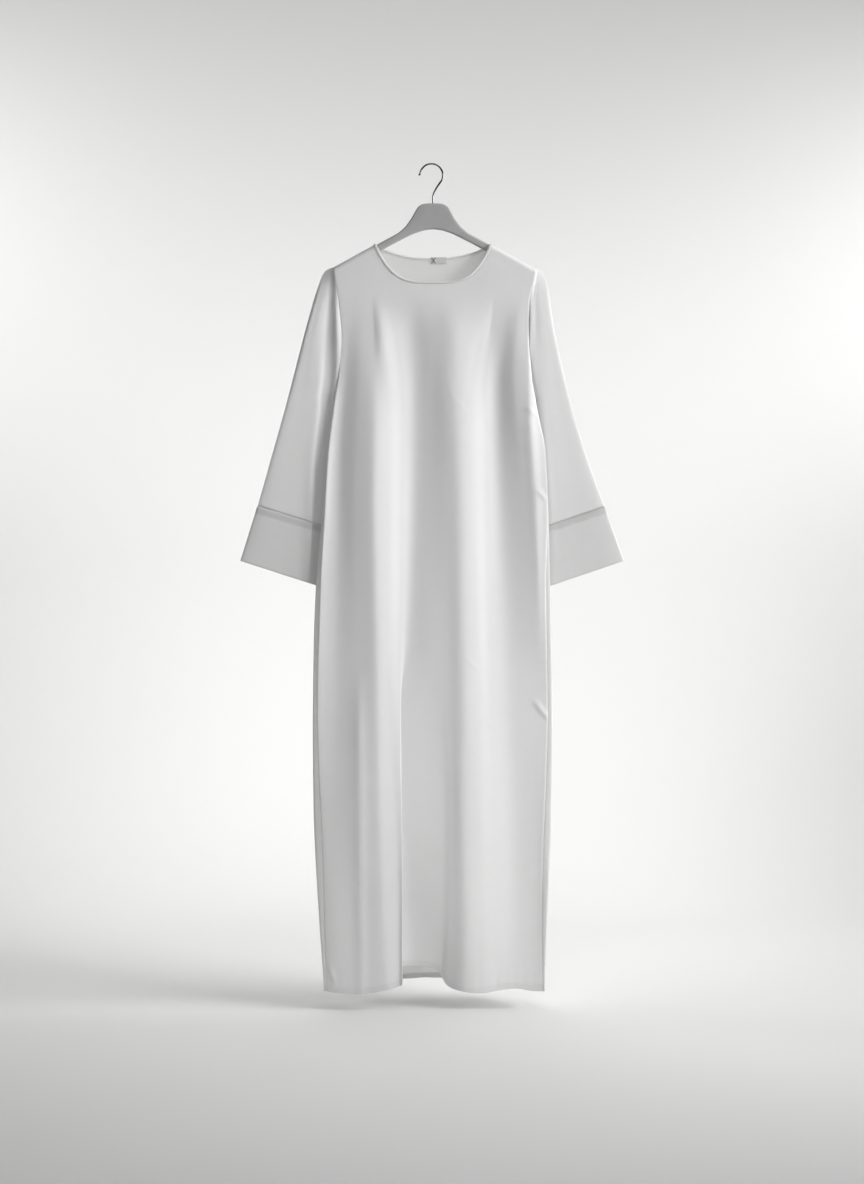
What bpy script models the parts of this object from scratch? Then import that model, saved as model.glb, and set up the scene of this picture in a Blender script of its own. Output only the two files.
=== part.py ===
"""A long, plain, collarless djellaba with wide sleeves and deep cuffs, hanging on a flat hanger.

Metres, +Z up, seen from the front along +Y, with +X to the viewer's right. The origin is the
highest point inside the hook, where a rail carries it. The tables are in millimetres: x from
the garment's centre line, y with minus towards the viewer, and "down" below the origin.
"""

import math
from collections import namedtuple

import bpy
import numpy as np
from mathutils.kdtree import KDTree

MM = 0.001

# Cloth and seams
CLOTH = 1.3
CUFF_CLOTH = 2.2
BINDING_CLOTH = 1.9
BINDING_PROUD = 0.6
SEAM_GAP = 0.3
SEAM_TRIM = 0.5 * SEAM_GAP
SAME_SEAM = 1.6
FOLDED_BACK = -0.3
CREASE_ANGLE = 50
MERGE = 0.00001

# Neck and shoulders
CENTRE_X = 3.0
NECK_HALF = 108.3
NECK_DOWN = 150.7
SHOULDER_SLOPE = 0.55
SHOULDER_DEPTH = 9.0
SHOULDER_ROUND = 10.0
BINDING_WIDTH = 5.0
Neckline = namedtuple("Neckline", "drop fullness")
FRONT_NECK = Neckline(drop=72.2, fullness=3.5)
BACK_NECK = Neckline(drop=25.2, fullness=2.4)

# Hem
HEM_DOWN = 1562.0
HEM_RISE = 27.0
HEM_RISE_STATION = 6.3
HEM_RISE_SPREAD = 1.5

# Grid of the panels: cells across each shoulder, across the neck, and the rows going down
SHOULDER_CELLS = 6
SHOULDER_STATIONS = 3
NECK_CELLS = 16
NECK_STATIONS = 8
NECK_POINT_SHARES = (0.988, 0.9955)
SHOULDER_ROWS = (0.0, 2.0, 5.0, 10.0)
ARMHOLE_ROWS = (216.0, 236.0, 262.0, 292.0, 324.0, 356.0, 386.0, 412.0, 433.0)
UNDERARM_DOWN = 450.0
SAME_HEIGHT = 1.0
ARMHOLE_MIDDLE = 333.0
SKIRT_ROWS = 20

# Side outline: silhouette on the left and on the right, and how far the back panel rolls
# past the side seam (minus, onto the front) or stays behind it (plus)
Outline = namedtuple("Outline", "down left right roll")
OUTLINE = (
    Outline(194.5, -188.0, 196.0, 8.0),
    Outline(262.0, -179.0, 183.0, 8.0),
    Outline(333.0, -173.0, 181.5, 8.0),
    Outline(392.0, -177.0, 184.0, 7.0),
    Outline(450.0, -185.0, 193.0, 3.0),
    Outline(551.0, -197.5, 213.5, 0.0),
    Outline(675.0, -208.0, 220.0, -3.0),
    Outline(799.0, -220.5, 221.5, -8.0),
    Outline(1064.0, -228.5, 227.0, -10.0),
    Outline(1302.0, -222.0, 221.5, -13.0),
    Outline(1454.0, -214.0, 214.5, -9.0),
    Outline(1562.0, -204.5, 210.0, -4.0),
)

# Folds: one row for each line of cloth that runs down a panel, at five heights. Above the
# underarm its x moves over to even columns along the shoulder and neck
LEVELS = (240.0, 408.0, UNDERARM_DOWN, 903.0, 1207.0, HEM_DOWN)
ARMHOLE_LEVEL = 1
FIRST_CLOSED_LEVEL = 2
ARMHOLE_SHARE = (LEVELS[1] - LEVELS[0]) / (LEVELS[2] - LEVELS[0])
Fold = namedtuple(
    "Fold", "name armhole_y under_x under_y hip_x hip_y knee_x knee_y hem_x hem_y"
)
FRONT_FOLDS = (
    Fold("left_seam", -9, None, -8, None, -15, None, -22, None, -44),
    Fold("left_side", -10, -160, -11, -192, -19, -190, -30, -165, -58),
    Fold("left_rise", -17, -133, -21, -163, -22, -158, -38, -124, -62),
    Fold("left_crest", -22, -107, -30, -135, -31, -126, -46, -92, -40),
    Fold("left_fall", -18, -81, -23, -106, -36, -97, -47, -66, -8),
    Fold("left_wall", -9, -54, -8, -77, -30, -73, -27, -56, 32),
    Fold("valley_left", -6, -26, -3, -46, -19, -57, 0, -26, 56),
    Fold("valley_right", -11, 6, -10, -14, -23, -27, 14, 8, 44),
    Fold("right_wall", -17, 37, -20, 17, -31, 5, 10, 23, 6),
    Fold("right_rise", -14, 64, -16, 46, -38, 27, -14, 44, -31),
    Fold("right_crest", -7, 92, -2, 74, -37, 50, -39, 78, -57),
    Fold("right_fall", -3, 119, 4, 104, -22, 84, -51, 110, -47),
    Fold("right_valley", -7, 145, -5, 137, -11, 124, -42, 144, -20),
    Fold("right_side", -10, 170, -13, 180, -13, 173, -30, 178, -33),
    Fold("right_seam", -9, None, -8, None, -10, None, -16, None, -54),
)
BACK_FOLDS = (
    Fold("left_seam", 9, None, -8, None, -15, None, -22, None, -44),
    Fold("left_roll", 10, None, -2, None, -8, None, -15, None, -37),
    Fold("left_turn", 11, -162, 7, -208, 8, -212, 2, -200, -14),
    Fold("left_side", 13, -140, 15, -178, 17, -190, 24, -190, 22),
    Fold("left_crest", 16, -112, 22, -140, 28, -152, 40, -160, 58),
    Fold("left_valley", 15, -80, 18, -100, 25, -108, 38, -118, 76),
    Fold("mid_left", 14, -40, 17, -55, 20, -58, 34, -70, 72),
    Fold("middle", 16, 2, 23, -2, 27, 0, 42, -14, 78),
    Fold("mid_right", 16, 44, 21, 52, 32, 58, 50, 44, 84),
    Fold("right_valley", 14, 84, 16, 102, 24, 110, 40, 98, 74),
    Fold("right_crest", 16, 118, 20, 142, 25, 152, 38, 148, 66),
    Fold("right_side", 13, 148, 15, 180, 16, 190, 25, 188, 36),
    Fold("right_turn", 11, 171, 7, 210, 7, 211, 3, 204, -12),
    Fold("right_roll", 10, None, -2, None, -4, None, -9, None, -46),
    Fold("right_seam", 9, None, -8, None, -10, None, -16, None, -54),
)

# Sleeves: the rows going down the inner line, and the outer edge that each one reaches
SleeveRow = namedtuple("SleeveRow", "down left_x right_x inner_y outer_x outer_down")
SLEEVE_OUTLINE = (
    SleeveRow(196.5, None, None, None, None, 194.5),
    SleeveRow(205.0, None, None, None, 204.5, 202.5),
    SleeveRow(230.0, None, None, None, 215.5, 226.0),
    SleeveRow(314.0, None, None, None, 240.5, 311.0),
    SleeveRow(UNDERARM_DOWN, -187.0, 194.5, -2.0, 271.0, 437.0),
    SleeveRow(575.0, -198.0, 206.5, 9.0, 301.0, 547.0),
    SleeveRow(688.0, -204.0, 210.0, 14.0, 329.5, 650.0),
    SleeveRow(804.0, -206.0, 210.0, 15.0, 360.5, 754.0),
)
SLEEVE_LEVELS = (196.5, 314.0, UNDERARM_DOWN, 575.0, 688.0, 804.0)
SLEEVE_ROWS = (480.0, 515.0, 550.0, 585.0, 620.0, 655.0, 688.0)
CUFF_ROWS = (688.0, 727.0, 766.0, 804.0)
SLEEVE_CELLS_PER_STATION = 2
ARMHOLE_CLEARANCE = 1.2
OUTER_STATION = 6
LAST_STATION = 11
TOP_DEPTH = 5.4

# Sections of a sleeve: how far each line lies from the inner line (0) to the outer edge (1),
# and its y, at the cap, underarm, elbow, wrist and cuff edge
SleeveFold = namedtuple(
    "SleeveFold", "name cap cap_y under under_y elbow elbow_y wrist wrist_y edge edge_y"
)
LEFT_SLEEVE = (
    SleeveFold("crescent", 0.13, -14, 0.03, -1, 0.03, 1, 0.03, 6, 0.03, 7),
    SleeveFold("recess", 0.31, -6, 0.14, 1, 0.13, 0, 0.12, 3, 0.11, 3),
    SleeveFold("ridge", 0.52, -14, 0.36, -10, 0.31, -9, 0.24, -8, 0.20, -7),
    SleeveFold("face", 0.70, -12, 0.58, -9, 0.52, -7, 0.46, -5, 0.42, -4),
    SleeveFold("face_outer", 0.88, -7, 0.82, -4, 0.78, -1, 0.75, 2, 0.74, 2),
    SleeveFold("outer", 1.00, 1, 1.00, 4, 1.00, 8, 1.00, 10, 1.00, 10),
    SleeveFold("back_outer", 0.84, 9, 0.79, 13, 0.76, 17, 0.75, 19, 0.74, 20),
    SleeveFold("back", 0.56, 14, 0.50, 19, 0.47, 25, 0.46, 27, 0.44, 28),
    SleeveFold("back_inner", 0.28, 14, 0.21, 16, 0.18, 25, 0.17, 28, 0.16, 28),
    SleeveFold("roll", 0.12, 12, 0.06, 8, 0.05, 17, 0.04, 22, 0.04, 22),
)
RIGHT_SLEEVE = (
    SleeveFold("strip", 0.10, -8, 0.03, -1, 0.03, 1, 0.03, 6, 0.03, 7),
    SleeveFold("recess", 0.22, -3, 0.14, 1, 0.13, 0, 0.12, 3, 0.11, 3),
    SleeveFold("face", 0.42, -8, 0.36, -7, 0.33, -6, 0.28, -5, 0.26, -5),
    SleeveFold("crest", 0.64, -13, 0.60, -12, 0.55, -10, 0.50, -7, 0.48, -6),
    SleeveFold("face_outer", 0.86, -7, 0.83, -5, 0.79, -2, 0.76, 1, 0.75, 2),
    SleeveFold("outer", 1.00, 1, 1.00, 4, 1.00, 8, 1.00, 10, 1.00, 10),
    SleeveFold("back_outer", 0.84, 9, 0.79, 13, 0.76, 17, 0.75, 19, 0.74, 20),
    SleeveFold("back", 0.56, 14, 0.50, 19, 0.47, 25, 0.46, 27, 0.44, 28),
    SleeveFold("back_inner", 0.28, 14, 0.21, 16, 0.18, 25, 0.17, 28, 0.16, 28),
    SleeveFold("roll", 0.12, 12, 0.06, 8, 0.05, 17, 0.04, 22, 0.04, 22),
)

# Finishes: colour, roughness and whether it is metal
Finish = namedtuple("Finish", "colour roughness metallic")
CREPE = Finish((0.86, 0.86, 0.85), 0.8, 0.0)
DOUBLED_CREPE = Finish((0.76, 0.76, 0.74), 0.8, 0.0)
LABEL_TAPE = Finish((0.80, 0.80, 0.79), 0.7, 0.0)
HANGER_GREY = Finish((0.42, 0.42, 0.42), 0.45, 0.0)
STEEL = Finish((0.62, 0.62, 0.63), 0.25, 1.0)

# Blank label sewn inside the back of the neck
LABEL_LEFT = -4.0
LABEL_WIDTH = 30.0
LABEL_TOP = 174.5
LABEL_HEIGHT = 13.0
LABEL_THICKNESS = 0.8

# Hanger: a flat body with a block in the middle, and a round wire hook
HANGER_DEPTH = 8.0
HANGER_EDGE = 3.7
HANGER_GAP = 0.6
HANGER_HALF = 183.0
ARM_START = 101.6
ARM_HEIGHT = 14.5
BLOCK_TOP = ((0.0, 73.3), (14.0, 73.8), (22.0, 75.6), (28.5, 80.0), (33.0, 87.0), (41.6, 103.0))
BLOCK_SIDE = ((53.0, 118.5), (66.0, 129.8), (82.0, 138.6))
ARCH = ((0.0, 122.7), (18.0, 124.9), (36.0, 131.0), (52.0, 138.8), (72.0, 149.0))
TIP_STEPS = 5
EDGE_SEGMENTS = 3
EDGE_ANGLE = 60
FLAT_ANGLE = 1
BORE_SIDES = 16
WIRE = 3.4
WIRE_ROUNDING = 2
HOOK_RADIUS = 20.0
HOOK_START = -38.0
HOOK_END = 166.0
HOOK_STEPS = 15
STEM_DOWN = 92.0
STEM_TOP = 62.0
STEM_STEPS = 6
STEM_PULL = 26.0
TIP_FLARE = ((-22.0, 18.6), (-24.6, 20.2))
BORE_GAP = 0.3


def clear_scene():
    """Removes what the startup scene holds."""
    for obj in list(bpy.data.objects):
        bpy.data.objects.remove(obj, do_unlink=True)


def collection(name):
    """A new collection in the scene."""
    made = bpy.data.collections.new(name)
    bpy.context.scene.collection.children.link(made)
    return made


def material(name, finish):
    """A plain Principled material."""
    made = bpy.data.materials.new(name)
    made.use_nodes = True
    shader = made.node_tree.nodes["Principled BSDF"]
    shader.inputs["Base Color"].default_value = (*finish.colour, 1.0)
    shader.inputs["Roughness"].default_value = finish.roughness
    shader.inputs["Metallic"].default_value = finish.metallic
    made.diffuse_color = (*finish.colour, 1.0)
    return made


def level_slopes(knots, values):
    """The slope at each knot that keeps the curve between its knots' values."""
    steps = np.diff(knots)[:, None]
    rises = np.diff(values, axis=0) / steps
    slopes = np.zeros_like(values)
    before, after = rises[:-1], rises[1:]
    same_way = before * after > 0
    total = np.where(same_way, before + after, 1.0)
    slopes[1:-1] = np.where(same_way, 2 * before * after / total, 0.0)
    slopes[-1] = rises[-1]
    return slopes


def along(down, knots, values):
    """Values at heights between the knots: one column of values for each column of down."""
    knots = np.asarray(knots, float)
    values = np.asarray(values, float)
    if values.ndim == 1:
        values = np.repeat(values[:, None], down.shape[1], axis=1)
    slopes = level_slopes(knots, values)
    cell = np.clip(np.searchsorted(knots, down, side="right") - 1, 0, len(knots) - 2)
    step = knots[cell + 1] - knots[cell]
    t = np.clip((down - knots[cell]) / step, 0.0, 1.0)
    column = np.arange(down.shape[1])
    start, end = values[cell, column], values[cell + 1, column]
    start_slope, end_slope = slopes[cell, column] * step, slopes[cell + 1, column] * step
    return (
        (2 * t**3 - 3 * t**2 + 1) * start
        + (t**3 - 2 * t**2 + t) * start_slope
        + (3 * t**2 - 2 * t**3) * end
        + (t**3 - t**2) * end_slope
    )


def across(stations, place, before, after):
    """A smooth curve through the stations, with one more beyond each end, read at each place."""
    stations = np.column_stack([before, stations, after])
    first = np.minimum(place.astype(int), stations.shape[1] - 4)
    t = place - first
    p0, p1, p2, p3 = (stations[:, first + k] for k in range(4))
    return 0.5 * (
        2 * p1
        + (p2 - p0) * t
        + (2 * p0 - 5 * p1 + 4 * p2 - p3) * t**2
        + (3 * p1 - p0 - 3 * p2 + p3) * t**3
    )


def shoulder_down(x):
    """Height of the shoulder seam's line above a point."""
    return NECK_DOWN + SHOULDER_SLOPE * (np.abs(x) - NECK_HALF)


def neck_down(neckline, share, widened=0.0):
    """Height of the neckline at a share (-1 to 1) of its half width."""
    half = NECK_HALF + widened
    curve = 1 - np.abs(share) ** neckline.fullness
    start = shoulder_down(half)
    return start + (NECK_DOWN + neckline.drop + widened - start) * curve


def neck_shares():
    """Columns across the neck, closer together where it turns up to the shoulders."""
    even = np.sin(np.linspace(-math.pi / 2, math.pi / 2, NECK_CELLS + 1))
    return np.sort([*even, *NECK_POINT_SHARES, *np.negative(NECK_POINT_SHARES)])


def column_places():
    """Where each column of a panel lies, counted in fold lines from the left seam."""
    shoulder = np.linspace(0.0, SHOULDER_STATIONS, SHOULDER_CELLS + 1)[:-1]
    turn = np.arcsin(np.clip(neck_shares(), -1.0, 1.0)) / math.pi + 0.5
    neck = SHOULDER_STATIONS + NECK_STATIONS * turn
    last = 2 * SHOULDER_STATIONS + NECK_STATIONS
    return np.concatenate([shoulder, neck, last - shoulder[::-1]])


def rounded(y, x, down):
    """Draws y in to the shoulder seam, over the round top of the hanger's arms."""
    below = np.clip((down - shoulder_down(x)) / SHOULDER_ROUND, 0.0, 1.0)
    return y * np.sqrt(1 - (1 - below) ** 2)


class Panel:
    """The front or the back, from the shoulder seams to the hem."""

    def __init__(self, folds, other_folds, neckline, side):
        self.side = side
        self.levels = np.array(LEVELS)
        xs, ys = self.stations(folds)
        other_xs, other_ys = self.stations(other_folds)
        self.places = self.spread(xs, other_xs)
        self.depths = self.spread(ys, other_ys)
        self.places[0] = self.top_x()
        self.places[ARMHOLE_LEVEL] = np.average(
            self.places[[0, FIRST_CLOSED_LEVEL]],
            axis=0,
            weights=(1 - ARMHOLE_SHARE, ARMHOLE_SHARE),
        )
        self.depths[0] = side * SHOULDER_DEPTH
        self.down = self.rows(neckline)
        self.points = self.surface()

    @staticmethod
    def edges(down):
        """The side seams' x at these heights."""
        knots = [row.down for row in OUTLINE]
        roll = np.maximum(0.0, -along(down, knots, [row.roll for row in OUTLINE]))
        left = along(down, knots, [row.left for row in OUTLINE]) + roll
        right = along(down, knots, [row.right for row in OUTLINE]) - roll
        return left, right

    def stations(self, folds):
        """x and y of every fold line at every level, seams and rolls taken from the outline."""
        left, right = self.edges(self.levels[:, None])
        roll = along(self.levels[:, None], [r.down for r in OUTLINE], [r.roll for r in OUTLINE])
        xs, ys = [], []
        for fold in folds:
            fixed = {
                "left_seam": left,
                "right_seam": right,
                "left_roll": left + roll,
                "right_roll": right - roll,
            }
            if fold.name in fixed:
                xs.append(fixed[fold.name][:, 0])
            else:
                under = fold.under_x
                xs.append(np.array([under, under, under, fold.hip_x, fold.knee_x, fold.hem_x]))
            change = 0.0 if fold.name.endswith(("seam", "roll")) else ARMHOLE_SHARE
            low = fold.armhole_y + change * (fold.under_y - fold.armhole_y)
            ys.append([fold.armhole_y, low, fold.under_y, fold.hip_y, fold.knee_y, fold.hem_y])
        return np.array(xs, float).T, np.array(ys, float).T

    def spread(self, stations, others):
        """Reads the stations at every column. Below the underarm the front turns smoothly into
        the back's roll."""
        before = 2 * stations[:, 0] - stations[:, 1]
        after = 2 * stations[:, -1] - stations[:, -2]
        if self.side < 0:
            closed = slice(FIRST_CLOSED_LEVEL, None)
            seam, inside, roll = stations[closed, 0], stations[closed, 1], others[closed, 1]
            before[closed] = inside + 2 * (roll - seam)
            seam, inside, roll = stations[closed, -1], stations[closed, -2], others[closed, -2]
            after[closed] = inside + 2 * (roll - seam)
        return across(stations, column_places(), before, after)

    def top_x(self):
        """x of the columns along the shoulders and the neck."""
        half = NECK_HALF + BINDING_WIDTH
        left = np.linspace(OUTLINE[0].left, -half, SHOULDER_CELLS + 1)
        right = np.linspace(half, OUTLINE[0].right, SHOULDER_CELLS + 1)
        return np.concatenate([left[:-1], half * neck_shares(), right[1:]])

    def rows(self, neckline):
        """Heights of the grid: even steps from each column's own top to its own hem."""
        x = self.top_x()
        top = shoulder_down(x)
        shares = neck_shares()
        neck = slice(SHOULDER_CELLS, SHOULDER_CELLS + len(shares))
        top[neck] = neck_down(neckline, shares, BINDING_WIDTH)
        from_rise = (column_places() - HEM_RISE_STATION) / HEM_RISE_SPREAD
        rise = HEM_RISE * np.exp(-(from_rise**2))
        bottom = HEM_DOWN - (rise if self.side < 0 else 0.0)
        side = side_rows()
        share = (side - side[0]) / (side[-1] - side[0])
        return top + (bottom - top) * share[:, None]

    def surface(self):
        """The panel's outer face, as rows of points."""
        x = along(self.down, self.levels, self.places)
        left, right = self.edges(self.down[:, [0, -1]])
        from_edge = np.minimum(np.arange(x.shape[1]) / SHOULDER_CELLS, 1.0)
        fall = (1 - from_edge) ** 2
        x = x + (left[:, :1] - x[:, :1]) * fall + (right[:, 1:] - x[:, -1:]) * fall[::-1]
        y = along(self.down, self.levels, self.depths)
        closed = self.levels[FIRST_CLOSED_LEVEL:]
        seam_y = along(self.down[:, [0, -1]], closed, self.depths[FIRST_CLOSED_LEVEL:, [0, -1]])
        below = (self.down[:, [0, -1]] >= UNDERARM_DOWN - SAME_HEIGHT).astype(float)
        off = (seam_y - y[:, [0, -1]]) * below
        y = y + off[:, :1] * fall + off[:, 1:] * fall[::-1]
        return np.stack([x, rounded(y, x, self.down), -self.down], axis=-1)


def side_rows():
    """Heights of a panel's rows along its armhole and side seam."""
    top = OUTLINE[0].down
    shoulder = [top + step for step in SHOULDER_ROWS]
    skirt = np.linspace(UNDERARM_DOWN, HEM_DOWN, SKIRT_ROWS + 1)
    return np.array([*shoulder, *ARMHOLE_ROWS, *skirt])


def underarm_row():
    """The panel row where the armhole ends and the side seam begins."""
    return len(SHOULDER_ROWS) + len(ARMHOLE_ROWS)


class Sleeve:
    """One sleeve with its cuff, as rings from the armhole to the cuff's edge."""

    def __init__(self, side, folds, front, back):
        self.side = side
        self.folds = folds
        column = 0 if side < 0 else -1
        rows = slice(1, underarm_row() + 1)
        self.front_seam = front.points[rows, column]
        self.back_seam = back.points[rows, column]
        self.seam_rows = -self.front_seam[:, 2]

    def inner_lines(self, down):
        """Where each ring starts on the front and ends on the back."""
        count = len(self.seam_rows)
        known = [row for row in SLEEVE_OUTLINE if row.inner_y is not None]
        knots = [row.down for row in known]
        inner = [row.left_x if self.side < 0 else row.right_x for row in known]
        x = along(down[:, None], knots, inner)[:, 0]
        y = along(down[:, None], knots, [row.inner_y for row in known])[:, 0]
        front = np.column_stack([x, y, -down])
        back = front.copy()
        if down[0] > self.seam_rows[0]:
            return front, back
        low_half = (self.seam_rows - ARMHOLE_MIDDLE) / (UNDERARM_DOWN - ARMHOLE_MIDDLE)
        share = np.clip(low_half, 0.0, 1.0)[:, None] ** 2
        away = ARMHOLE_CLEARANCE * share * np.array([self.side, 0.0, 0.0])
        joined = 0.5 * (self.front_seam + self.back_seam)
        end = front[count - 1] - joined[-1]
        front[:count] = self.front_seam + away + share * end
        back[:count] = self.back_seam + away + share * end
        front[count - 1] = back[count - 1] = joined[-1] + away[-1] + end
        return front, back

    def section(self):
        """Share and y of every station at every level; the first level crosses the shoulder."""
        station = np.arange(LAST_STATION + 1)
        front = station / OUTER_STATION
        back = (LAST_STATION - station) / (LAST_STATION - OUTER_STATION)
        top = np.where(station <= OUTER_STATION, front, back)
        top_y = np.where(station <= OUTER_STATION, -1.0, 1.0) * TOP_DEPTH * (1 - top)
        shares, depths = [top], [top_y]
        for level in ("cap", "under", "elbow", "wrist", "edge"):
            shares.append([0.0, *(getattr(fold, level) for fold in self.folds), 0.0])
            depths.append([0.0, *(getattr(fold, f"{level}_y") for fold in self.folds), 0.0])
        return np.array(shares, float), np.array(depths, float)

    def rings(self, down):
        """Points of the rings that start at these heights of the inner line."""
        down = np.asarray(down, float)
        front, back = self.inner_lines(down)
        shares, depths = self.section()
        tall = np.repeat(down[:, None], LAST_STATION + 1, axis=1)
        shares = along(tall, SLEEVE_LEVELS, shares)
        depths = along(tall, SLEEVE_LEVELS, depths)
        depths[:, 0], depths[:, -1] = front[:, 1], back[:, 1]
        knots = [row.down for row in SLEEVE_OUTLINE]
        outer = [abs(self.front_seam[0, 0]), *(row.outer_x for row in SLEEVE_OUTLINE[1:])]
        reach = along(down[:, None], knots, outer)
        low = along(down[:, None], knots, [row.outer_down for row in SLEEVE_OUTLINE])
        inner = front[:, :1]
        x = inner + (self.side * reach - inner) * shares
        z = -(down[:, None] + (low - down[:, None]) * shares)
        place = np.linspace(0.0, LAST_STATION, SLEEVE_CELLS_PER_STATION * LAST_STATION + 1)
        closed = down >= UNDERARM_DOWN - SAME_HEIGHT
        grids = []
        for values in (x, depths, z):
            before = np.where(closed, values[:, -2], 2 * values[:, 0] - values[:, 1])
            after = np.where(closed, values[:, 1], 2 * values[:, -1] - values[:, -2])
            grids.append(across(values, place, before, after))
        return np.stack(grids, axis=-1)


class Sheet:
    """One piece of cloth: its outer face as a grid, with its last column closed onto its first
    from the row close_from on."""

    def __init__(self, name, grid, flip=False, close_from=None, wall=CLOTH, proud=0.0):
        rows, columns = grid.shape[:2]
        self.name, self.wall, self.proud = name, wall, proud
        index = np.arange(rows * columns).reshape(rows, columns)
        if close_from is not None:
            index[close_from:, -1] = index[close_from:, 0]
        corners = (index[:-1, :-1], index[1:, :-1], index[1:, 1:], index[:-1, 1:])
        quads = np.stack(corners, axis=-1).reshape(-1, 4)
        if flip:
            quads = quads[:, ::-1]
        used, quads = np.unique(quads, return_inverse=True)
        self.quads = quads.reshape(-1, 4)
        self.points = grid.reshape(-1, 3)[used]
        self.normals = self.face_normals()
        self.border = self.border_edges()

    def face_normals(self):
        """Each point's normal, the mean of the faces round it."""
        corner = self.points[self.quads]
        normal = np.cross(corner[:, 2] - corner[:, 0], corner[:, 3] - corner[:, 1])
        total = np.zeros_like(self.points)
        for side in range(4):
            np.add.at(total, self.quads[:, side], normal)
        return total / np.linalg.norm(total, axis=1, keepdims=True)

    def border_edges(self):
        """The edges that only one face uses, in that face's direction."""
        edges = np.concatenate([self.quads[:, [k, (k + 1) % 4]] for k in range(4)])
        _, where, count = np.unique(
            np.sort(edges, axis=1), axis=0, return_inverse=True, return_counts=True
        )
        return edges[count[where.reshape(-1)] == 1]

    def trimmed(self):
        """The points with the border drawn in, so that pieces don't quite meet at a seam."""
        edge = self.points[self.border[:, 1]] - self.points[self.border[:, 0]]
        inward = np.zeros_like(self.points)
        for point in self.border.T:
            step = np.cross(self.normals[point], edge)
            np.add.at(inward, point, step / np.linalg.norm(step, axis=1, keepdims=True))
        squared = (inward**2).sum(axis=1, keepdims=True)
        return self.points + SEAM_TRIM * 2 * inward / np.maximum(squared, 1.0)

    def build(self, group, finish):
        """The wall between the outer face and the inner one, closed round its border."""
        points = self.trimmed()
        outer = points + self.normals * self.proud
        inner = outer - self.normals * self.wall
        count = len(points)
        rim = [(b, a, a + count, b + count) for a, b in self.border]
        faces = [*self.quads.tolist(), *(self.quads[:, ::-1] + count).tolist(), *rim]
        placed = (np.concatenate([outer, inner]) + (CENTRE_X, 0.0, 0.0)) * MM
        mesh = bpy.data.meshes.new(self.name)
        mesh.from_pydata(placed.tolist(), [], faces)
        mesh.shade_smooth()
        mesh.set_sharp_from_angle(angle=math.radians(CREASE_ANGLE))
        return add_object(self.name, mesh, group, finish)


def share_normals(sheets):
    """Gives points where pieces meet one normal, so that their walls stay side by side."""
    places = [(sheet, point) for sheet in sheets for point in np.unique(sheet.border)]
    tree = KDTree(len(places))
    for index, (sheet, point) in enumerate(places):
        tree.insert(sheet.points[point], index)
    tree.balance()
    own = [sheet.normals[point].copy() for sheet, point in places]
    for index, (sheet, point) in enumerate(places):
        near = [found[1] for found in tree.find_range(sheet.points[point], SAME_SEAM)]
        total = sum(own[other] for other in near if np.dot(own[index], own[other]) > FOLDED_BACK)
        sheet.normals[point] = total / np.linalg.norm(total)


def add_object(name, data, group, finish):
    """Links a mesh or a curve as one object with one material."""
    data.materials.append(finish)
    made = bpy.data.objects.new(name, data)
    group.objects.link(made)
    return made


def binding_grid():
    """The neck binding: round the front neckline and back along the back one."""
    shares = neck_shares()
    rings = []
    for widened in (0.0, BINDING_WIDTH / 2, BINDING_WIDTH):
        ring = []
        for neckline, side, order in ((FRONT_NECK, -1, shares), (BACK_NECK, 1, shares[::-1])):
            x = (NECK_HALF + widened) * order
            down = neck_down(neckline, order, widened)
            y = rounded(np.full_like(x, side * SHOULDER_DEPTH), x, down)
            ring.append(np.column_stack([x, y, -down])[:-1])
        ring = np.concatenate(ring)
        rings.append(np.concatenate([ring, ring[:1]]))
    return np.array(rings)


def cloth_sheets():
    """Every cut piece of the garment."""
    front = Panel(FRONT_FOLDS, BACK_FOLDS, FRONT_NECK, -1)
    back = Panel(BACK_FOLDS, FRONT_FOLDS, BACK_NECK, 1)
    sheets = [
        Sheet("front_panel", front.points),
        Sheet("back_panel", back.points, flip=True),
        Sheet(
            "neck_binding",
            binding_grid(),
            close_from=0,
            wall=BINDING_CLOTH,
            proud=BINDING_PROUD,
        ),
    ]
    for name, side, folds in (("left", -1, LEFT_SLEEVE), ("right", 1, RIGHT_SLEEVE)):
        sleeve = Sleeve(side, folds, front, back)
        rows = np.concatenate([sleeve.seam_rows, SLEEVE_ROWS])
        arm = sleeve.rings(rows)
        cuff = sleeve.rings(CUFF_ROWS)
        last_open = len(sleeve.seam_rows) - 1
        sheets.append(Sheet(f"sleeve_{name}", arm, flip=side < 0, close_from=last_open))
        sheets.append(
            Sheet(f"cuff_{name}", cuff, flip=side < 0, close_from=0, wall=CUFF_CLOTH)
        )
    share_normals(sheets)
    return sheets


def make_label(group, finish):
    """The blank label, flat against the inside of the back neck."""
    y = SHOULDER_DEPTH - CLOTH - SEAM_GAP - LABEL_THICKNESS / 2
    x = CENTRE_X + LABEL_LEFT + LABEL_WIDTH / 2
    z = -LABEL_TOP - LABEL_HEIGHT / 2
    bpy.ops.mesh.primitive_cube_add(size=1.0, location=(x * MM, y * MM, z * MM))
    label = bpy.context.object
    label.name = label.data.name = "neck_label"
    label.scale = (LABEL_WIDTH * MM, LABEL_THICKNESS * MM, LABEL_HEIGHT * MM)
    label.data.materials.append(finish)
    for old in list(label.users_collection):
        old.objects.unlink(label)
    group.objects.link(label)


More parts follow.
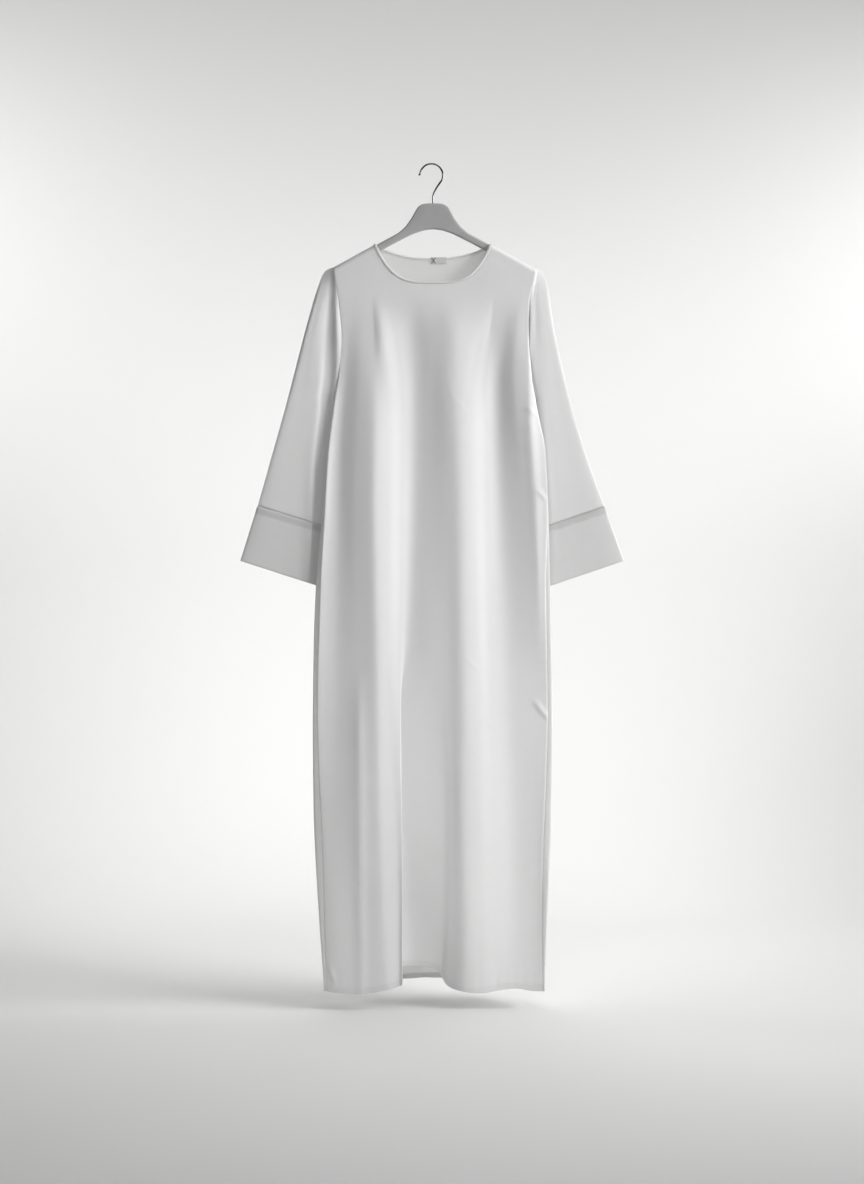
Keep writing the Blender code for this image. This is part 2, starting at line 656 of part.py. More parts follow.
def hanger_outline():
    """The hanger's flat outline: block, arm, round tip and arch on the right, then mirrored."""
    sink = (CLOTH + HANGER_GAP) / math.cos(math.atan(SHOULDER_SLOPE))
    lean = math.atan(SHOULDER_SLOPE)
    tip_radius = ARM_HEIGHT * math.cos(lean) / 2
    tip_x = HANGER_HALF - tip_radius
    tip_top = shoulder_down(tip_x) + sink
    centre = (tip_x - tip_radius * math.sin(lean), tip_top + tip_radius * math.cos(lean))
    upper = [*BLOCK_TOP, *BLOCK_SIDE, (ARM_START, shoulder_down(ARM_START) + sink)]
    turns = np.linspace(math.pi / 2 - lean, -math.pi / 2 - lean, TIP_STEPS + 1)
    for turn in turns:
        x = centre[0] + tip_radius * math.cos(turn)
        upper.append((x, centre[1] - tip_radius * math.sin(turn)))
    right = [*upper, *reversed(ARCH)]
    left = [(-x, down) for x, down in reversed(right) if x > 0]
    return [*right, *left]


def make_hanger(group, cutters, finish):
    """The hanger's body, with rounded edges and the hook's bore."""
    outline = hanger_outline()
    curve = bpy.data.curves.new("hanger_body", "CURVE")
    curve.dimensions = "2D"
    curve.fill_mode = "BOTH"
    curve.extrude = HANGER_DEPTH / 2 * MM
    spline = curve.splines.new("POLY")
    spline.points.add(len(outline) - 1)
    for point, (x, down) in zip(spline.points, outline):
        point.co = (x * MM, -down * MM, 0.0, 1.0)
    spline.use_cyclic_u = True
    flat = bpy.data.objects.new("hanger_flat", curve)
    flat.location = (CENTRE_X * MM, 0.0, 0.0)
    flat.rotation_euler = (math.pi / 2, 0.0, 0.0)
    group.objects.link(flat)
    bpy.context.view_layer.update()
    graph = bpy.context.evaluated_depsgraph_get()
    mesh = bpy.data.meshes.new_from_object(flat.evaluated_get(graph))
    hanger = add_object("hanger_body", mesh, group, finish)
    hanger.matrix_world = flat.matrix_world.copy()
    bpy.data.objects.remove(flat, do_unlink=True)
    weld = hanger.modifiers.new("weld", "WELD")
    weld.merge_threshold = MERGE
    flatten = hanger.modifiers.new("flat_faces", "DECIMATE")
    flatten.decimate_type = "DISSOLVE"
    flatten.angle_limit = math.radians(FLAT_ANGLE)
    bevel = hanger.modifiers.new("edges", "BEVEL")
    bevel.width = HANGER_EDGE * MM
    bevel.segments = EDGE_SEGMENTS
    bevel.use_clamp_overlap = False
    bevel.limit_method = "ANGLE"
    bevel.angle_limit = math.radians(EDGE_ANGLE)
    bpy.ops.mesh.primitive_cylinder_add(
        vertices=BORE_SIDES,
        radius=(WIRE / 2 + BORE_GAP) * MM,
        depth=(STEM_DOWN - BLOCK_TOP[0][1] + BORE_GAP) * 2 * MM,
        location=(CENTRE_X * MM, 0.0, -BLOCK_TOP[0][1] * MM),
    )
    bore = bpy.context.object
    bore.name = "hook_bore"
    bore.hide_render = True
    bore.display_type = "WIRE"
    for old in list(bore.users_collection):
        old.objects.unlink(bore)
    cutters.objects.link(bore)
    cut = hanger.modifiers.new("bore", "BOOLEAN")
    cut.operation = "DIFFERENCE"
    cut.object = bore


def hook_path():
    """The wire's centre line: up out of the block, over to the right, round, and a flared tip."""
    turns = np.radians(np.linspace(HOOK_START, HOOK_END, HOOK_STEPS + 1))
    radius = HOOK_RADIUS + WIRE / 2
    arc = np.column_stack([radius * np.cos(turns), HOOK_RADIUS - radius * np.sin(turns)])
    start = np.array([CENTRE_X, STEM_TOP])
    ahead = STEM_PULL * np.array([-math.sin(turns[0]), -math.cos(turns[0])])
    upward = np.array([0.0, -STEM_PULL])
    t = np.linspace(0.0, 1.0, STEM_STEPS + 1)[:-1, None]
    bend = (
        (2 * t**3 - 3 * t**2 + 1) * start
        + (t**3 - 2 * t**2 + t) * upward
        + (3 * t**2 - 2 * t**3) * arc[0]
        + (t**3 - t**2) * ahead
    )
    return np.concatenate([[[CENTRE_X, STEM_DOWN]], bend, arc, TIP_FLARE])


def make_hook(group, finish):
    """The round wire hook, in the hanger's plane."""
    path = hook_path()
    curve = bpy.data.curves.new("hanger_hook", "CURVE")
    curve.dimensions = "3D"
    curve.bevel_depth = WIRE / 2 * MM
    curve.bevel_resolution = WIRE_ROUNDING
    curve.use_fill_caps = True
    spline = curve.splines.new("POLY")
    spline.points.add(len(path) - 1)
    for point, (x, down) in zip(spline.points, path):
        point.co = (x * MM, 0.0, -down * MM, 1.0)
    add_object("hanger_hook", curve, group, finish)


def main():
    """Builds the garment and the hanger that holds it."""
    clear_scene()
    group = collection("djellaba_on_hanger")
    cutters = collection("cutters")
    white = material("white_crepe", CREPE)
    doubled = material("white_crepe_doubled", DOUBLED_CREPE)
    for sheet in cloth_sheets():
        sheet.build(group, doubled if sheet.name.startswith("cuff") else white)
    make_label(group, material("label_tape", LABEL_TAPE))
    make_hanger(group, cutters, material("hanger_grey", HANGER_GREY))
    make_hook(group, material("hook_steel", STEEL))


main()
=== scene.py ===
"""Looks of a plain white djellaba that hangs on a flat grey hanger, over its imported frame.

Lengths in the tables are millimetres: x from the garment's centre line, y with minus towards
the viewer, and down below the origin, which is the highest point inside the hook. The cloth is
worked out as grids of points, one for each piece that a maker cuts, and the metres of the frame
come in only where a mesh is made.
"""

import logging
import math
from dataclasses import dataclass, field
from enum import Enum
from typing import NamedTuple, Union

import bpy
import numpy as np
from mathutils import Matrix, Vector


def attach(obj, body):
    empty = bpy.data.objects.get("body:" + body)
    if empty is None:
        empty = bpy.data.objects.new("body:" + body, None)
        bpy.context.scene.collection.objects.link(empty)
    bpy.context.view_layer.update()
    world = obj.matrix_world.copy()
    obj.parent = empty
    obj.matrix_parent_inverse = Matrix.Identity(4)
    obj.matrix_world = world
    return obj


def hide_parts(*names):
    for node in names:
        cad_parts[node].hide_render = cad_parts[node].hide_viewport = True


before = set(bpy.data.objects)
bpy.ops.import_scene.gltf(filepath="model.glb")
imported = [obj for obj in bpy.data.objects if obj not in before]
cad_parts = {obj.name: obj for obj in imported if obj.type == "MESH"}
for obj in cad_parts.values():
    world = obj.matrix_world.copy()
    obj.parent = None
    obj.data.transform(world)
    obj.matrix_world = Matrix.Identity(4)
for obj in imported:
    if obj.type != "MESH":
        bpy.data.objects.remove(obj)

Array = np.ndarray
Number = Union[int, float]
Known = Union[float, None]
Object = bpy.types.Object
Material = bpy.types.Material
Socket = bpy.types.NodeSocket

MM = 0.001
CENTRE_X = 3.0
BODY = "root"
LOG = logging.getLogger("djellaba")
# What a cut has over the finished sheet: metres across, and its share in area
SEAMS_ACROSS = 0.02
SEAMS_SHARE = 1.06


# Curves that the cloth is made of


def level_slopes(knots: Array, values: Array) -> Array:
    """Slopes that keep a curve between its knots: the harmonic mean of the slopes on each side.

    Args:
        knots: Heights of the knots.
        values: One row of values for each knot.

    Returns:
        The slope of each value at each knot.
    """
    rises = np.diff(values, axis=0) / np.diff(knots)[:, None]
    slopes = np.zeros_like(values)
    before, after = rises[:-1], rises[1:]
    same_way = before * after > 0
    total = np.where(same_way, before + after, 1.0)
    slopes[1:-1] = np.where(same_way, 2 * before * after / total, 0.0)
    slopes[-1] = rises[-1]
    return slopes


def hermite(t: Array, start: Array, leaving: Array, end: Array, arriving: Array) -> Array:
    """Cubic curve between two points.

    Args:
        t: Where to read, from 0 at the start to 1 at the end.
        start: Value at the start.
        leaving: Slope there, over a unit of t.
        end: Value at the end.
        arriving: Slope there.

    Returns:
        The values at t.
    """
    return (
        (2 * t**3 - 3 * t**2 + 1) * start
        + (t**3 - 2 * t**2 + t) * leaving
        + (3 * t**2 - 2 * t**3) * end
        + (t**3 - t**2) * arriving
    )


def along(down: Array, knots: list, values: Union[Array, list]) -> Array:
    """Cubic Hermite curve through the knots, read at every height of a grid.

    Args:
        down: Heights, rows by columns.
        knots: Heights at which the values are known.
        values: One value for each knot, or one row of values with one for each column.

    Returns:
        The values at the heights, in the shape of down.
    """
    knots, values = np.asarray(knots, float), np.asarray(values, float)
    if values.ndim == 1:
        values = np.repeat(values[:, None], down.shape[1], axis=1)
    slopes = level_slopes(knots, values)
    cell = np.clip(np.searchsorted(knots, down, side="right") - 1, 0, len(knots) - 2)
    step = knots[cell + 1] - knots[cell]
    t = np.clip((down - knots[cell]) / step, 0.0, 1.0)
    here, following = (cell, np.arange(down.shape[1])), (cell + 1, np.arange(down.shape[1]))
    return hermite(
        t, values[here], slopes[here] * step, values[following], slopes[following] * step
    )


def across(stations: Array, place: Array, before: Array, after: Array) -> Array:
    """Catmull-Rom curve across each row: its slope at a station is half the step between the
    stations on either side.

    Args:
        stations: Values at the stations, one row for each height.
        place: Where to read, counted in stations from the first.
        before: Value one station before the first, for each row.
        after: Value one station past the last, for each row.

    Returns:
        The values at the places, one row for each height.
    """
    stations = np.column_stack([before, stations, after])
    first = np.minimum(place.astype(int), stations.shape[1] - 4)
    t = place - first
    p0, p1, p2, p3 = (stations[:, first + k] for k in range(4))
    return 0.5 * (
        2 * p1
        + (p2 - p0) * t
        + (2 * p0 - 5 * p1 + 4 * p2 - p3) * t**2
        + (3 * p1 - p0 - 3 * p2 + p3) * t**3
    )


def smooth_step(value: Array, low: float, high: float) -> Array:
    """0 below low, 1 above high, and 3t^2 - 2t^3 between them."""
    t = np.clip((value - low) / (high - low), 0.0, 1.0)
    return t * t * (3 - 2 * t)


def ripple(place: Array, length: float, seed: float) -> Array:
    """An uneven wave along a line: three sines whose lengths share no common measure."""
    turn = 2 * math.pi * place / length
    return (
        np.sin(turn + seed)
        + 0.6 * np.sin(0.618 * turn + 2.1 * seed)
        + 0.4 * np.sin(1.731 * turn + 3.7 * seed)
    ) / 2.0


def lengths(points: Array, axis: int) -> Array:
    """Distance from the first point of each line of a grid, summed along that axis.

    Args:
        points: Points of a grid, or of one line.
        axis: The axis that the lines run along.

    Returns:
        The distances, in the shape of the grid.
    """
    step = np.linalg.norm(np.diff(points, axis=axis), axis=-1)
    start = np.zeros_like(np.take(step, [0], axis=axis))
    return np.cumsum(np.concatenate([start, step], axis=axis), axis=axis)


def read_along(line: Array, values: Array, place: Array) -> Array:
    """Reads the values that go with a line's points at these distances along it."""
    travelled = lengths(line, 0)
    return np.stack([np.interp(place, travelled, value) for value in values.T], axis=-1)


def to_sides(points: Array) -> Array:
    """Distance from each point of a grid to the nearer end of its row."""
    wide = lengths(points, 1)
    return np.minimum(wide, wide[:, -1:] - wide)


def to_bottom(points: Array) -> Array:
    """Distance from each point of a grid to the foot of its column."""
    return lengths(points[::-1], 0)[::-1]


def bell(place: Array, width: float) -> Array:
    """1 at zero, and falling off on both sides by exp(-(place / width)^2)."""
    return np.exp(-((place / width) ** 2))


def unit(vectors: Array) -> Array:
    """The same directions, with a length of one."""
    return vectors / np.maximum(np.linalg.norm(vectors, axis=-1, keepdims=True), 1e-9)


def grid_normals(points: Array) -> Array:
    """Unit normals of a grid: the step down its rows crossed with the step across them."""
    return unit(np.cross(np.gradient(points, axis=0), np.gradient(points, axis=1)))


def column(rows: tuple, name: str) -> list:
    """One field of every row of a table."""
    return [getattr(row, name) for row in rows]


def turned_in(points: Array, outward: Array, rows: int, gap: float) -> Array:
    """Folds a grid's last rows up inside it: a half circle below its edge, then the same rows
    again upwards, the gap inwards along their normals.

    Args:
        points: The outer face.
        outward: Its normals.
        rows: How many rows the turned part has.
        gap: How far inwards it lies.

    Returns:
        The longer grid.
    """
    below = unit(points[-1] - points[-2])
    turn = np.radians([45.0, 90.0, 135.0])[:, None, None]
    round_edge = (
        points[-1]
        - outward[-1] * gap / 2 * (1 - np.cos(turn))
        + below * gap / 2 * np.sin(turn)
    )
    inner = (points - outward * gap)[-rows:][::-1]
    return np.concatenate([points, round_edge, inner])


# The cut of the garment


class Neckline(NamedTuple):
    """A neckline's drop below the neck point, and how square its curve is."""

    drop: float
    fullness: float


class Outline(NamedTuple):
    """The body's silhouette at one height, and how far the back rolls past the side seam."""

    down: float
    left: float
    right: float
    roll: float


class Fold(NamedTuple):
    """One line of cloth down a panel: its x at each of the panel's heights from the underarm
    down, and its y at every height. The seams and the rolls take their x from the outline."""

    name: str
    xs: tuple
    ys: tuple


class Folds(NamedTuple):
    """A panel's heights, its fold lines from left to right, and how far its hem rises at each
    of them."""

    downs: tuple
    lines: tuple
    hem_rises: tuple


class Ridge(NamedTuple):
    """A ridge, or with minus heights a trough, that runs down a panel. The smaller its tip's
    radius, the sharper it is."""

    downs: tuple
    xs: tuple
    heights: tuple
    left_width: float
    right_width: float
    tip: float


class Crease(NamedTuple):
    """A short straight crease between two points."""

    x0: float
    down0: float
    x1: float
    down1: float
    height: float
    width: float


class Side(Enum):
    """Which way a piece lies from the garment's middle."""

    LEFT = -1
    RIGHT = 1


class Face(Enum):
    """Which panel of the body a piece is, by the sign of its y."""

    FRONT = -1
    BACK = 1


@dataclass(frozen=True)
class Cut:
    """Sizes that the front, the back and the sleeves share."""

    neck_half: float = 108.3
    neck_down: float = 150.7
    shoulder_slope: float = 0.55
    shoulder_depth: float = 9.0
    shoulder_round: float = 10.0
    binding_width: float = 5.0
    hem_down: float = 1562.0
    underarm_down: float = 450.0
    armhole_middle: float = 333.0
    shoulder_stations: int = 3
    neck_stations: int = 8
    shoulder_cells: int = 28
    seam_crowding: float = 1.5
    neck_cells: int = 84
    shoulder_steps: tuple = (0.0, 0.3, 0.8, 1.5, 2.4, 3.5, 4.8, 6.3, 8.0, 10.0)
    armhole_cells: int = 58
    skirt_cells: int = 246
    hem_steps: tuple = (15.0, 13.5, 12.3, 11.5, 10.9, 10.4, 9.9, 9.4, 8.8, 7.5, 5.0, 2.5, 1.0, 0.0)
    outline: tuple = (
        Outline(194.5, -188.0, 196.0, 8.0),
        Outline(262.0, -179.0, 183.0, 8.0),
        Outline(333.0, -173.0, 181.5, 8.0),
        Outline(392.0, -177.0, 184.0, 7.0),
        Outline(450.0, -185.0, 193.0, 3.0),
        Outline(551.0, -197.5, 213.5, 0.0),
        Outline(675.0, -208.0, 220.0, -3.0),
        Outline(799.0, -220.5, 221.5, -8.0),
        Outline(1064.0, -228.5, 227.0, -10.0),
        Outline(1302.0, -222.0, 221.5, -13.0),
        Outline(1454.0, -214.0, 214.5, -9.0),
        Outline(1562.0, -204.5, 210.0, -4.0),
    )

    def shoulder(self, x: Array) -> Array:
        """Height of the shoulder seam's line above a point: straight from the neck point."""
        return self.neck_down + self.shoulder_slope * (np.abs(x) - self.neck_half)

    def neck(self, neckline: Neckline, share: Array, widened: float = 0.0) -> Array:
        """Height of a neckline: it drops by 1 - |share|^fullness of its depth.

        Args:
            neckline: The front's or the back's.
            share: Places from -1 to 1 across the neck.
            widened: How far outside the neckline to go.

        Returns:
            Heights below the origin.
        """
        start = self.shoulder(self.neck_half + widened)
        curve = 1 - np.abs(share) ** neckline.fullness
        return start + (self.neck_down + neckline.drop + widened - start) * curve

    def neck_shares(self) -> Array:
        """Columns across the neck, at the sines of even turns."""
        return np.sin(np.linspace(-math.pi / 2, math.pi / 2, self.neck_cells + 1))

    def shoulder_shares(self) -> Array:
        """Columns from the armhole to the neck, as shares, crowded towards the armhole."""
        return np.linspace(0, 1, self.shoulder_cells + 1) ** self.seam_crowding

    def places(self) -> Array:
        """Where each column of a panel lies, counted in fold lines from the left seam.

        Returns:
            One place for each column.
        """
        shoulder = self.shoulder_stations * self.shoulder_shares()[:-1]
        turn = np.arcsin(np.clip(self.neck_shares(), -1.0, 1.0)) / math.pi + 0.5
        last = 2 * self.shoulder_stations + self.neck_stations
        neck = self.shoulder_stations + self.neck_stations * turn
        return np.concatenate([shoulder, neck, last - shoulder[::-1]])

    def top_x(self) -> Array:
        """x of the columns along the shoulders and the neck.

        Returns:
            One x for each column.
        """
        half = self.neck_half + self.binding_width
        share = self.shoulder_shares()[:-1]
        left = self.outline[0].left + (-half - self.outline[0].left) * share
        right = self.outline[0].right + (half - self.outline[0].right) * share
        return np.concatenate([left, half * self.neck_shares(), right[::-1]])

    def side_rows(self) -> Array:
        """Heights of the rows along the armhole and the side seam.

        Returns:
            One height for each row.
        """
        top = self.outline[0].down
        shoulder = top + np.array(self.shoulder_steps)
        armhole = np.linspace(shoulder[-1], self.underarm_down, self.armhole_cells + 1)
        hem = self.hem_down - np.array(self.hem_steps)
        skirt = np.linspace(self.underarm_down, hem[0], self.skirt_cells + 1)
        return np.concatenate([shoulder, armhole[1:], skirt[1:], hem[1:]])

    def underarm_row(self) -> int:
        """The row where the armhole ends and the side seam begins."""
        return len(self.shoulder_steps) - 1 + self.armhole_cells

    def rounded(self, y: Array, x: Array, down: Array) -> Array:
        """Draws y to the shoulder seam on a quarter ellipse, round the hanger's arms."""
        below = np.clip((down - self.shoulder(x)) / self.shoulder_round, 0.0, 1.0)
        return y * np.sqrt(1 - (1 - below) ** 2)

    def read(self, name: str, down: Array) -> Array:
        """One field of the outline at these heights."""
        return along(down, column(self.outline, "down"), column(self.outline, name))

    def edges(self, down: Array) -> tuple:
        """x of the left and the right seam, drawn in where the back rolls past them.

        Args:
            down: Heights, rows by columns.

        Returns:
            Two arrays in the shape of down.
        """
        tucked = np.maximum(0.0, -self.read("roll", down))
        return self.read("left", down) + tucked, self.read("right", down) - tucked


@dataclass(frozen=True)
class Sewing:
    """The small shapes that stitching gives to cloth: a dip at each seam, puckers beside it,
    and the allowance inside it, which the material paints as a darker band of painted shade."""

    dip: float = 0.5
    dip_width: float = 1.4
    pucker: float = 0.45
    pucker_start: float = 3.0
    allowance_width: float = 8.0
    allowance_fade: float = 1.5
    allowance_layers: float = 0.15

    def puckered(self, from_seam: Array, reach: float) -> Array:
        """How strong the puckers are at this distance from a seam."""
        return np.exp(-from_seam / reach) * smooth_step(from_seam, 0.0, self.pucker_start)

    def allowance(self, from_seam: Array) -> Array:
        """Layers that the allowance adds at this distance from a seam."""
        end = self.allowance_width + self.allowance_fade
        # The material greys the cloth by these layers: painted shade.
        return self.allowance_layers * (1 - smooth_step(from_seam, self.allowance_width, end))


CUT = Cut()
SEWN = Sewing()
FRONT_NECK = Neckline(72.2, 3.5)
BACK_NECK = Neckline(25.2, 2.4)

FRONT_FOLDS = Folds(
    (240, 333, 450, 637, 903, 1055, 1207, 1397, 1562),
    (
        Fold("left_seam", (), (-9, -9, -8, -14.5, -22, -26, -30, -34, -37.5)),
        Fold(
            "left_side",
            (-168, -178, -182, -183, -186, -184, -173),
            (-9, -9.8, -10, -14, -22, -27.5, -33, -37.4, -42.5),
        ),
        Fold(
            "left_rise",
            (-140, -147, -144, -143, -146, -142, -133),
            (-9, -12.5, -18, -22.5, -27.8, -32.8, -38, -40.5, -45.6),
        ),
        Fold(
            "left_crest",
            (-109, -112, -108, -106, -104, -99, -91),
            (-9, -13.5, -20.5, -26.8, -31.5, -36.2, -41, -44.2, -49.7),
        ),
        Fold(
            "left_fall",
            (-84, -84, -84, -79, -71, -66, -65),
            (-9, -15, -17.2, -23.2, -29, -33.6, -38, -42.6, -49),
        ),
        Fold(
            "left_wall",
            (-57, -59, -62, -61, -59, -58, -57.5),
            (-9, -9, -9.2, -15.2, -23.5, -30.8, -37, -42.4, -48.4),
        ),
        Fold(
            "valley_left",
            (-33, -36, -44, -63, -76, -80, -78),
            (-9, -5, -4.5, -10, -20.5, -30.6, -34.8, -26, -16),
        ),
        Fold(
            "valley_right",
            (-4, -6, -6, 0, 8, 8, -2),
            (-9, -10, -8.5, -13.5, -23.8, -30.8, -33.4, -31.8, -17),
        ),
        Fold(
            "right_wall",
            (25, 25, 28, 30, 34, 34, 26),
            (-9, -14.5, -15.2, -19, -26.8, -32.8, -35.3, -35.4, -27),
        ),
        Fold(
            "right_rise",
            (48, 51, 55, 57, 57, 60, 57),
            (-9, -12, -16.5, -22.2, -30.3, -36.2, -38.5, -39.2, -39.5),
        ),
        Fold(
            "right_crest",
            (74, 76, 82, 84, 86, 89, 93),
            (-9, -7.8, -12.2, -18.5, -26.5, -32.8, -35.2, -36, -39.5),
        ),
        Fold(
            "right_fall",
            (99, 103, 108, 112, 116, 120, 125),
            (-9, -5, -5, -10.5, -19.6, -26, -28, -29.8, -36.3),
        ),
        Fold(
            "right_valley",
            (123, 130, 141, 144, 150, 152, 156),
            (-9, -5.5, 0, -5.8, -14.8, -20.3, -21.3, -24.2, -34.5),
        ),
        Fold(
            "right_side",
            (156, 172, 181, 184, 188, 186, 186),
            (-9, -10, -9.2, -11.8, -16, -19, -20, -23, -35),
        ),
        Fold("right_seam", (), (-9, -9, -8, -14.5, -17.5, -18.5, -20.5, -24.2, -36.5)),
    ),
    (0, -3, -4, 3.5, 11, 18, 40, 40, 9, -0.5, -3.5, 1.5, 4.5, 0, 0),
)
BACK_FOLDS = Folds(
    (240, 408, 450, 903, 1207, 1562),
    (
        Fold("left_seam", (), (9, 9, -8, -22, -30, -37.5)),
        Fold("left_roll", (), (9, 10, -2, -17.5, -26, -35)),
        Fold("left_turn", (-162, -208, -212, -200), (9, 7.8, 7, 8, 2, -12)),
        Fold("left_side", (-140, -178, -190, -190), (9, 14.6, 15, 17, 24, 22)),
        Fold("left_crest", (-112, -140, -152, -160), (9, 20.8, 22, 28, 40, 58)),
        Fold("left_valley", (-80, -100, -108, -118), (9, 17.4, 18, 25, 38, 76)),
        Fold("mid_left", (-40, -55, -58, -70), (9, 16.4, 17, 20, 34, 72)),
        Fold("middle", (2, -2, 0, -14), (9, 21.6, 23, 27, 42, 78)),
        Fold("mid_right", (44, 52, 58, 44), (9, 20, 21, 32, 50, 84)),
        Fold("right_valley", (84, 102, 110, 98), (9, 15.6, 16, 24, 40, 74)),
        Fold("right_crest", (118, 142, 152, 148), (9, 19.2, 20, 25, 38, 66)),
        Fold("right_side", (148, 180, 190, 188), (9, 14.6, 15, 16, 25, 36)),
        Fold("right_turn", (171, 210, 211, 204), (9, 7.8, 7, 7, 3, -8)),
        Fold("right_roll", (), (9, 10, -2, -13.5, -16.5, -34)),
        Fold("right_seam", (), (9, 9, -8, -17.5, -20.5, -36.5)),
    ),
    (0,) * 15,
)
FRONT_RIDGES = (
    Ridge(
        (380, 450, 551, 675, 799, 1064, 1300),
        (-184, -189, -201, -212, -222, -230, -224),
        (0.0, 5.5, 6.5, 6.0, 4.0, 2.0, 0.0),
        6.0,
        9.0,
        2.0,
    ),
    Ridge(
        (300, 370, 505, 640, 800, 950),
        (180, 180, 185, 194, 199, 201),
        (0.0, 3.0, 6.5, 4.6, 2.4, 0.0),
        20.0,
        11.0,
        3.0,
    ),
    Ridge(
        (320, 380, 460, 560, 640, 860, 1200, 1500, 1562),
        (-114, -113, -112, -112, -113, -109, -103, -93, -91),
        (0.0, 0.5, 1.7, 2.5, 2.7, 2.4, 1.6, 1.0, 0.6),
        18.0,
        14.0,
        7.0,
    ),
    Ridge(
        (960, 1060, 1300, 1562),
        (-139, -139, -137, -134),
        (0.0, 2.6, 2.6, 1.6),
        9.0,
        9.0,
        3.0,
    ),
)
BACK_RIDGES = (
    Ridge((290, 420, 900, 1562), (58, 62, 78, 90), (0.0, 6.5, 9.5, 7.5), 26.0, 15.0, 4.0),
    Ridge((270, 400, 860, 1562), (-66, -80, -94, -104), (0.0, 7.0, 10.0, 8.0), 15.0, 28.0, 4.0),
    Ridge((340, 560, 1050, 1562), (6, 2, -8, -18), (0.0, 4.5, 8.5, 7.0), 17.0, 24.0, 5.0),
    Ridge((350, 520, 940, 1562), (118, 132, 146, 150), (0.0, 4.5, 8.0, 6.0), 17.0, 20.0, 4.0),
    Ridge((400, 600, 1000, 1562), (-136, -154, -166, -170), (0.0, 4.0, 7.0, 5.5), 13.0, 18.0, 4.0),
)
FRONT_CREASES = (
    Crease(175, 462, 195, 476, 1.6, 4.0),
    Crease(198, 618, 214, 638, 1.8, 4.0),
    Crease(188, 1014, 222, 1056, 1.9, 4.5),
    Crease(56, 930, 86, 960, 0.6, 3.5),
    Crease(40, 446, 62, 470, 0.6, 3.5),
    Crease(30, 418, 44, 468, 0.4, 4.5),
    Crease(-196, 1512, -184, 1548, 1.2, 4.0),
)
BACK_CREASES = (
    Crease(-180, 480, -160, 500, 1.6, 4.5),
    Crease(150, 470, 182, 488, 1.4, 4.0),
    Crease(-60, 900, -20, 936, 1.0, 4.0),
    Crease(170, 1010, 200, 1036, 1.4, 4.5),
)


class Wave(NamedTuple):
    """Waves along an edge: how high they are, about how long each one is, and how far from the
    edge they reach."""

    height: float
    length: float
    reach: float


class SleeveFold(NamedTuple):
    """One line down a sleeve: its share of the way from the inner line to the outer edge, and
    its y, at the cap, the underarm, the elbow, the wrist and the cuff's edge."""

    name: str
    shares: tuple
    ys: tuple


class SleeveRow(NamedTuple):
    """A sleeve's inner line at one height, and the outer edge that the row reaches, on the
    left and on the right. Where a value is None, the armhole's own line is followed."""

    down: float
    left_x: Known
    right_x: Known
    inner_y: Known
    left_outer: Known
    right_outer: Known
    outer_down: float


SLEEVE_OUTLINE = (
    SleeveRow(196.5, None, None, None, None, None, 194.5),
    SleeveRow(205.0, None, None, None, 204.5, 204.5, 202.5),
    SleeveRow(230.0, None, None, None, 215.5, 215.5, 226.0),
    SleeveRow(314.0, None, None, None, 239.5, 229.0, 311.0),
    SleeveRow(450.0, -187.0, 194.5, -2.0, 271.0, 256.0, 437.0),
    SleeveRow(575.0, -198.0, 206.5, 9.0, 300.5, 287.0, 547.0),
    SleeveRow(688.0, -204.0, 210.0, 14.0, 328.5, 322.0, 650.0),
    SleeveRow(804.0, -206.0, 210.0, 15.0, 359.5, 357.0, 754.0),
)
SLEEVE_BACK = (
    SleeveFold("back_outer", (0.84, 0.79, 0.76, 0.75, 0.74), (9, 13, 17, 19, 20)),
    SleeveFold("back", (0.56, 0.50, 0.47, 0.46, 0.44), (14, 19, 25, 27, 28)),
    SleeveFold("back_inner", (0.28, 0.21, 0.18, 0.17, 0.16), (14, 16, 25, 28, 28)),
    SleeveFold("roll", (0.12, 0.06, 0.05, 0.04, 0.04), (12, 8, 17, 22, 22)),
)
LEFT_SLEEVE = (
    SleeveFold("crescent", (0.13, 0.04, 0.03, 0.03, 0.03), (-12, -6, -5, 0, 1)),
    SleeveFold("crease", (0.27, 0.14, 0.11, 0.08, 0.08), (-8, -3.5, -3.5, -1, 0)),
    SleeveFold("recess", (0.40, 0.28, 0.24, 0.17, 0.15), (-7.5, -5, -4.5, -2, -2)),
    SleeveFold("ridge", (0.54, 0.38, 0.32, 0.23, 0.20), (-11, -9, -8, -6.5, -6)),
    SleeveFold("crest", (0.68, 0.54, 0.46, 0.36, 0.32), (-13.2, -10.8, -9, -7.4, -6.4)),
    SleeveFold("face", (0.82, 0.74, 0.68, 0.62, 0.60), (-14, -12.4, -11, -10, -9)),
    SleeveFold("face_outer", (0.96, 0.975, 0.98, 0.98, 0.98), (-14, -14, -13.5, -13, -12.5)),
    SleeveFold("outer", (1.00, 1.00, 1.00, 1.00, 1.00), (-8, -8, -7.5, -7, -7)),
    *SLEEVE_BACK,
)
RIGHT_SLEEVE = (
    SleeveFold("strip", (0.08, 0.05, 0.04, 0.04, 0.04), (-10, -7.5, -4, -2, -2)),
    SleeveFold("strip_edge", (0.27, 0.20, 0.12, 0.12, 0.11), (-8.5, -9, -8.5, -6.5, -6.5)),
    SleeveFold("face", (0.48, 0.40, 0.30, 0.28, 0.26), (-8, -7.8, -7.4, -5.6, -5.6)),
    SleeveFold("crest", (0.72, 0.65, 0.60, 0.55, 0.52), (-6.5, -5.8, -5.2, -4, -4)),
    SleeveFold("face_outer", (0.95, 0.97, 0.975, 0.98, 0.98), (-4.5, -3.6, -2.8, -2, -2)),
    SleeveFold("outer", (1.00, 1.00, 1.00, 1.00, 1.00), (-1, 0, 2, 3, 3)),
    *SLEEVE_BACK,
)


# Meshes


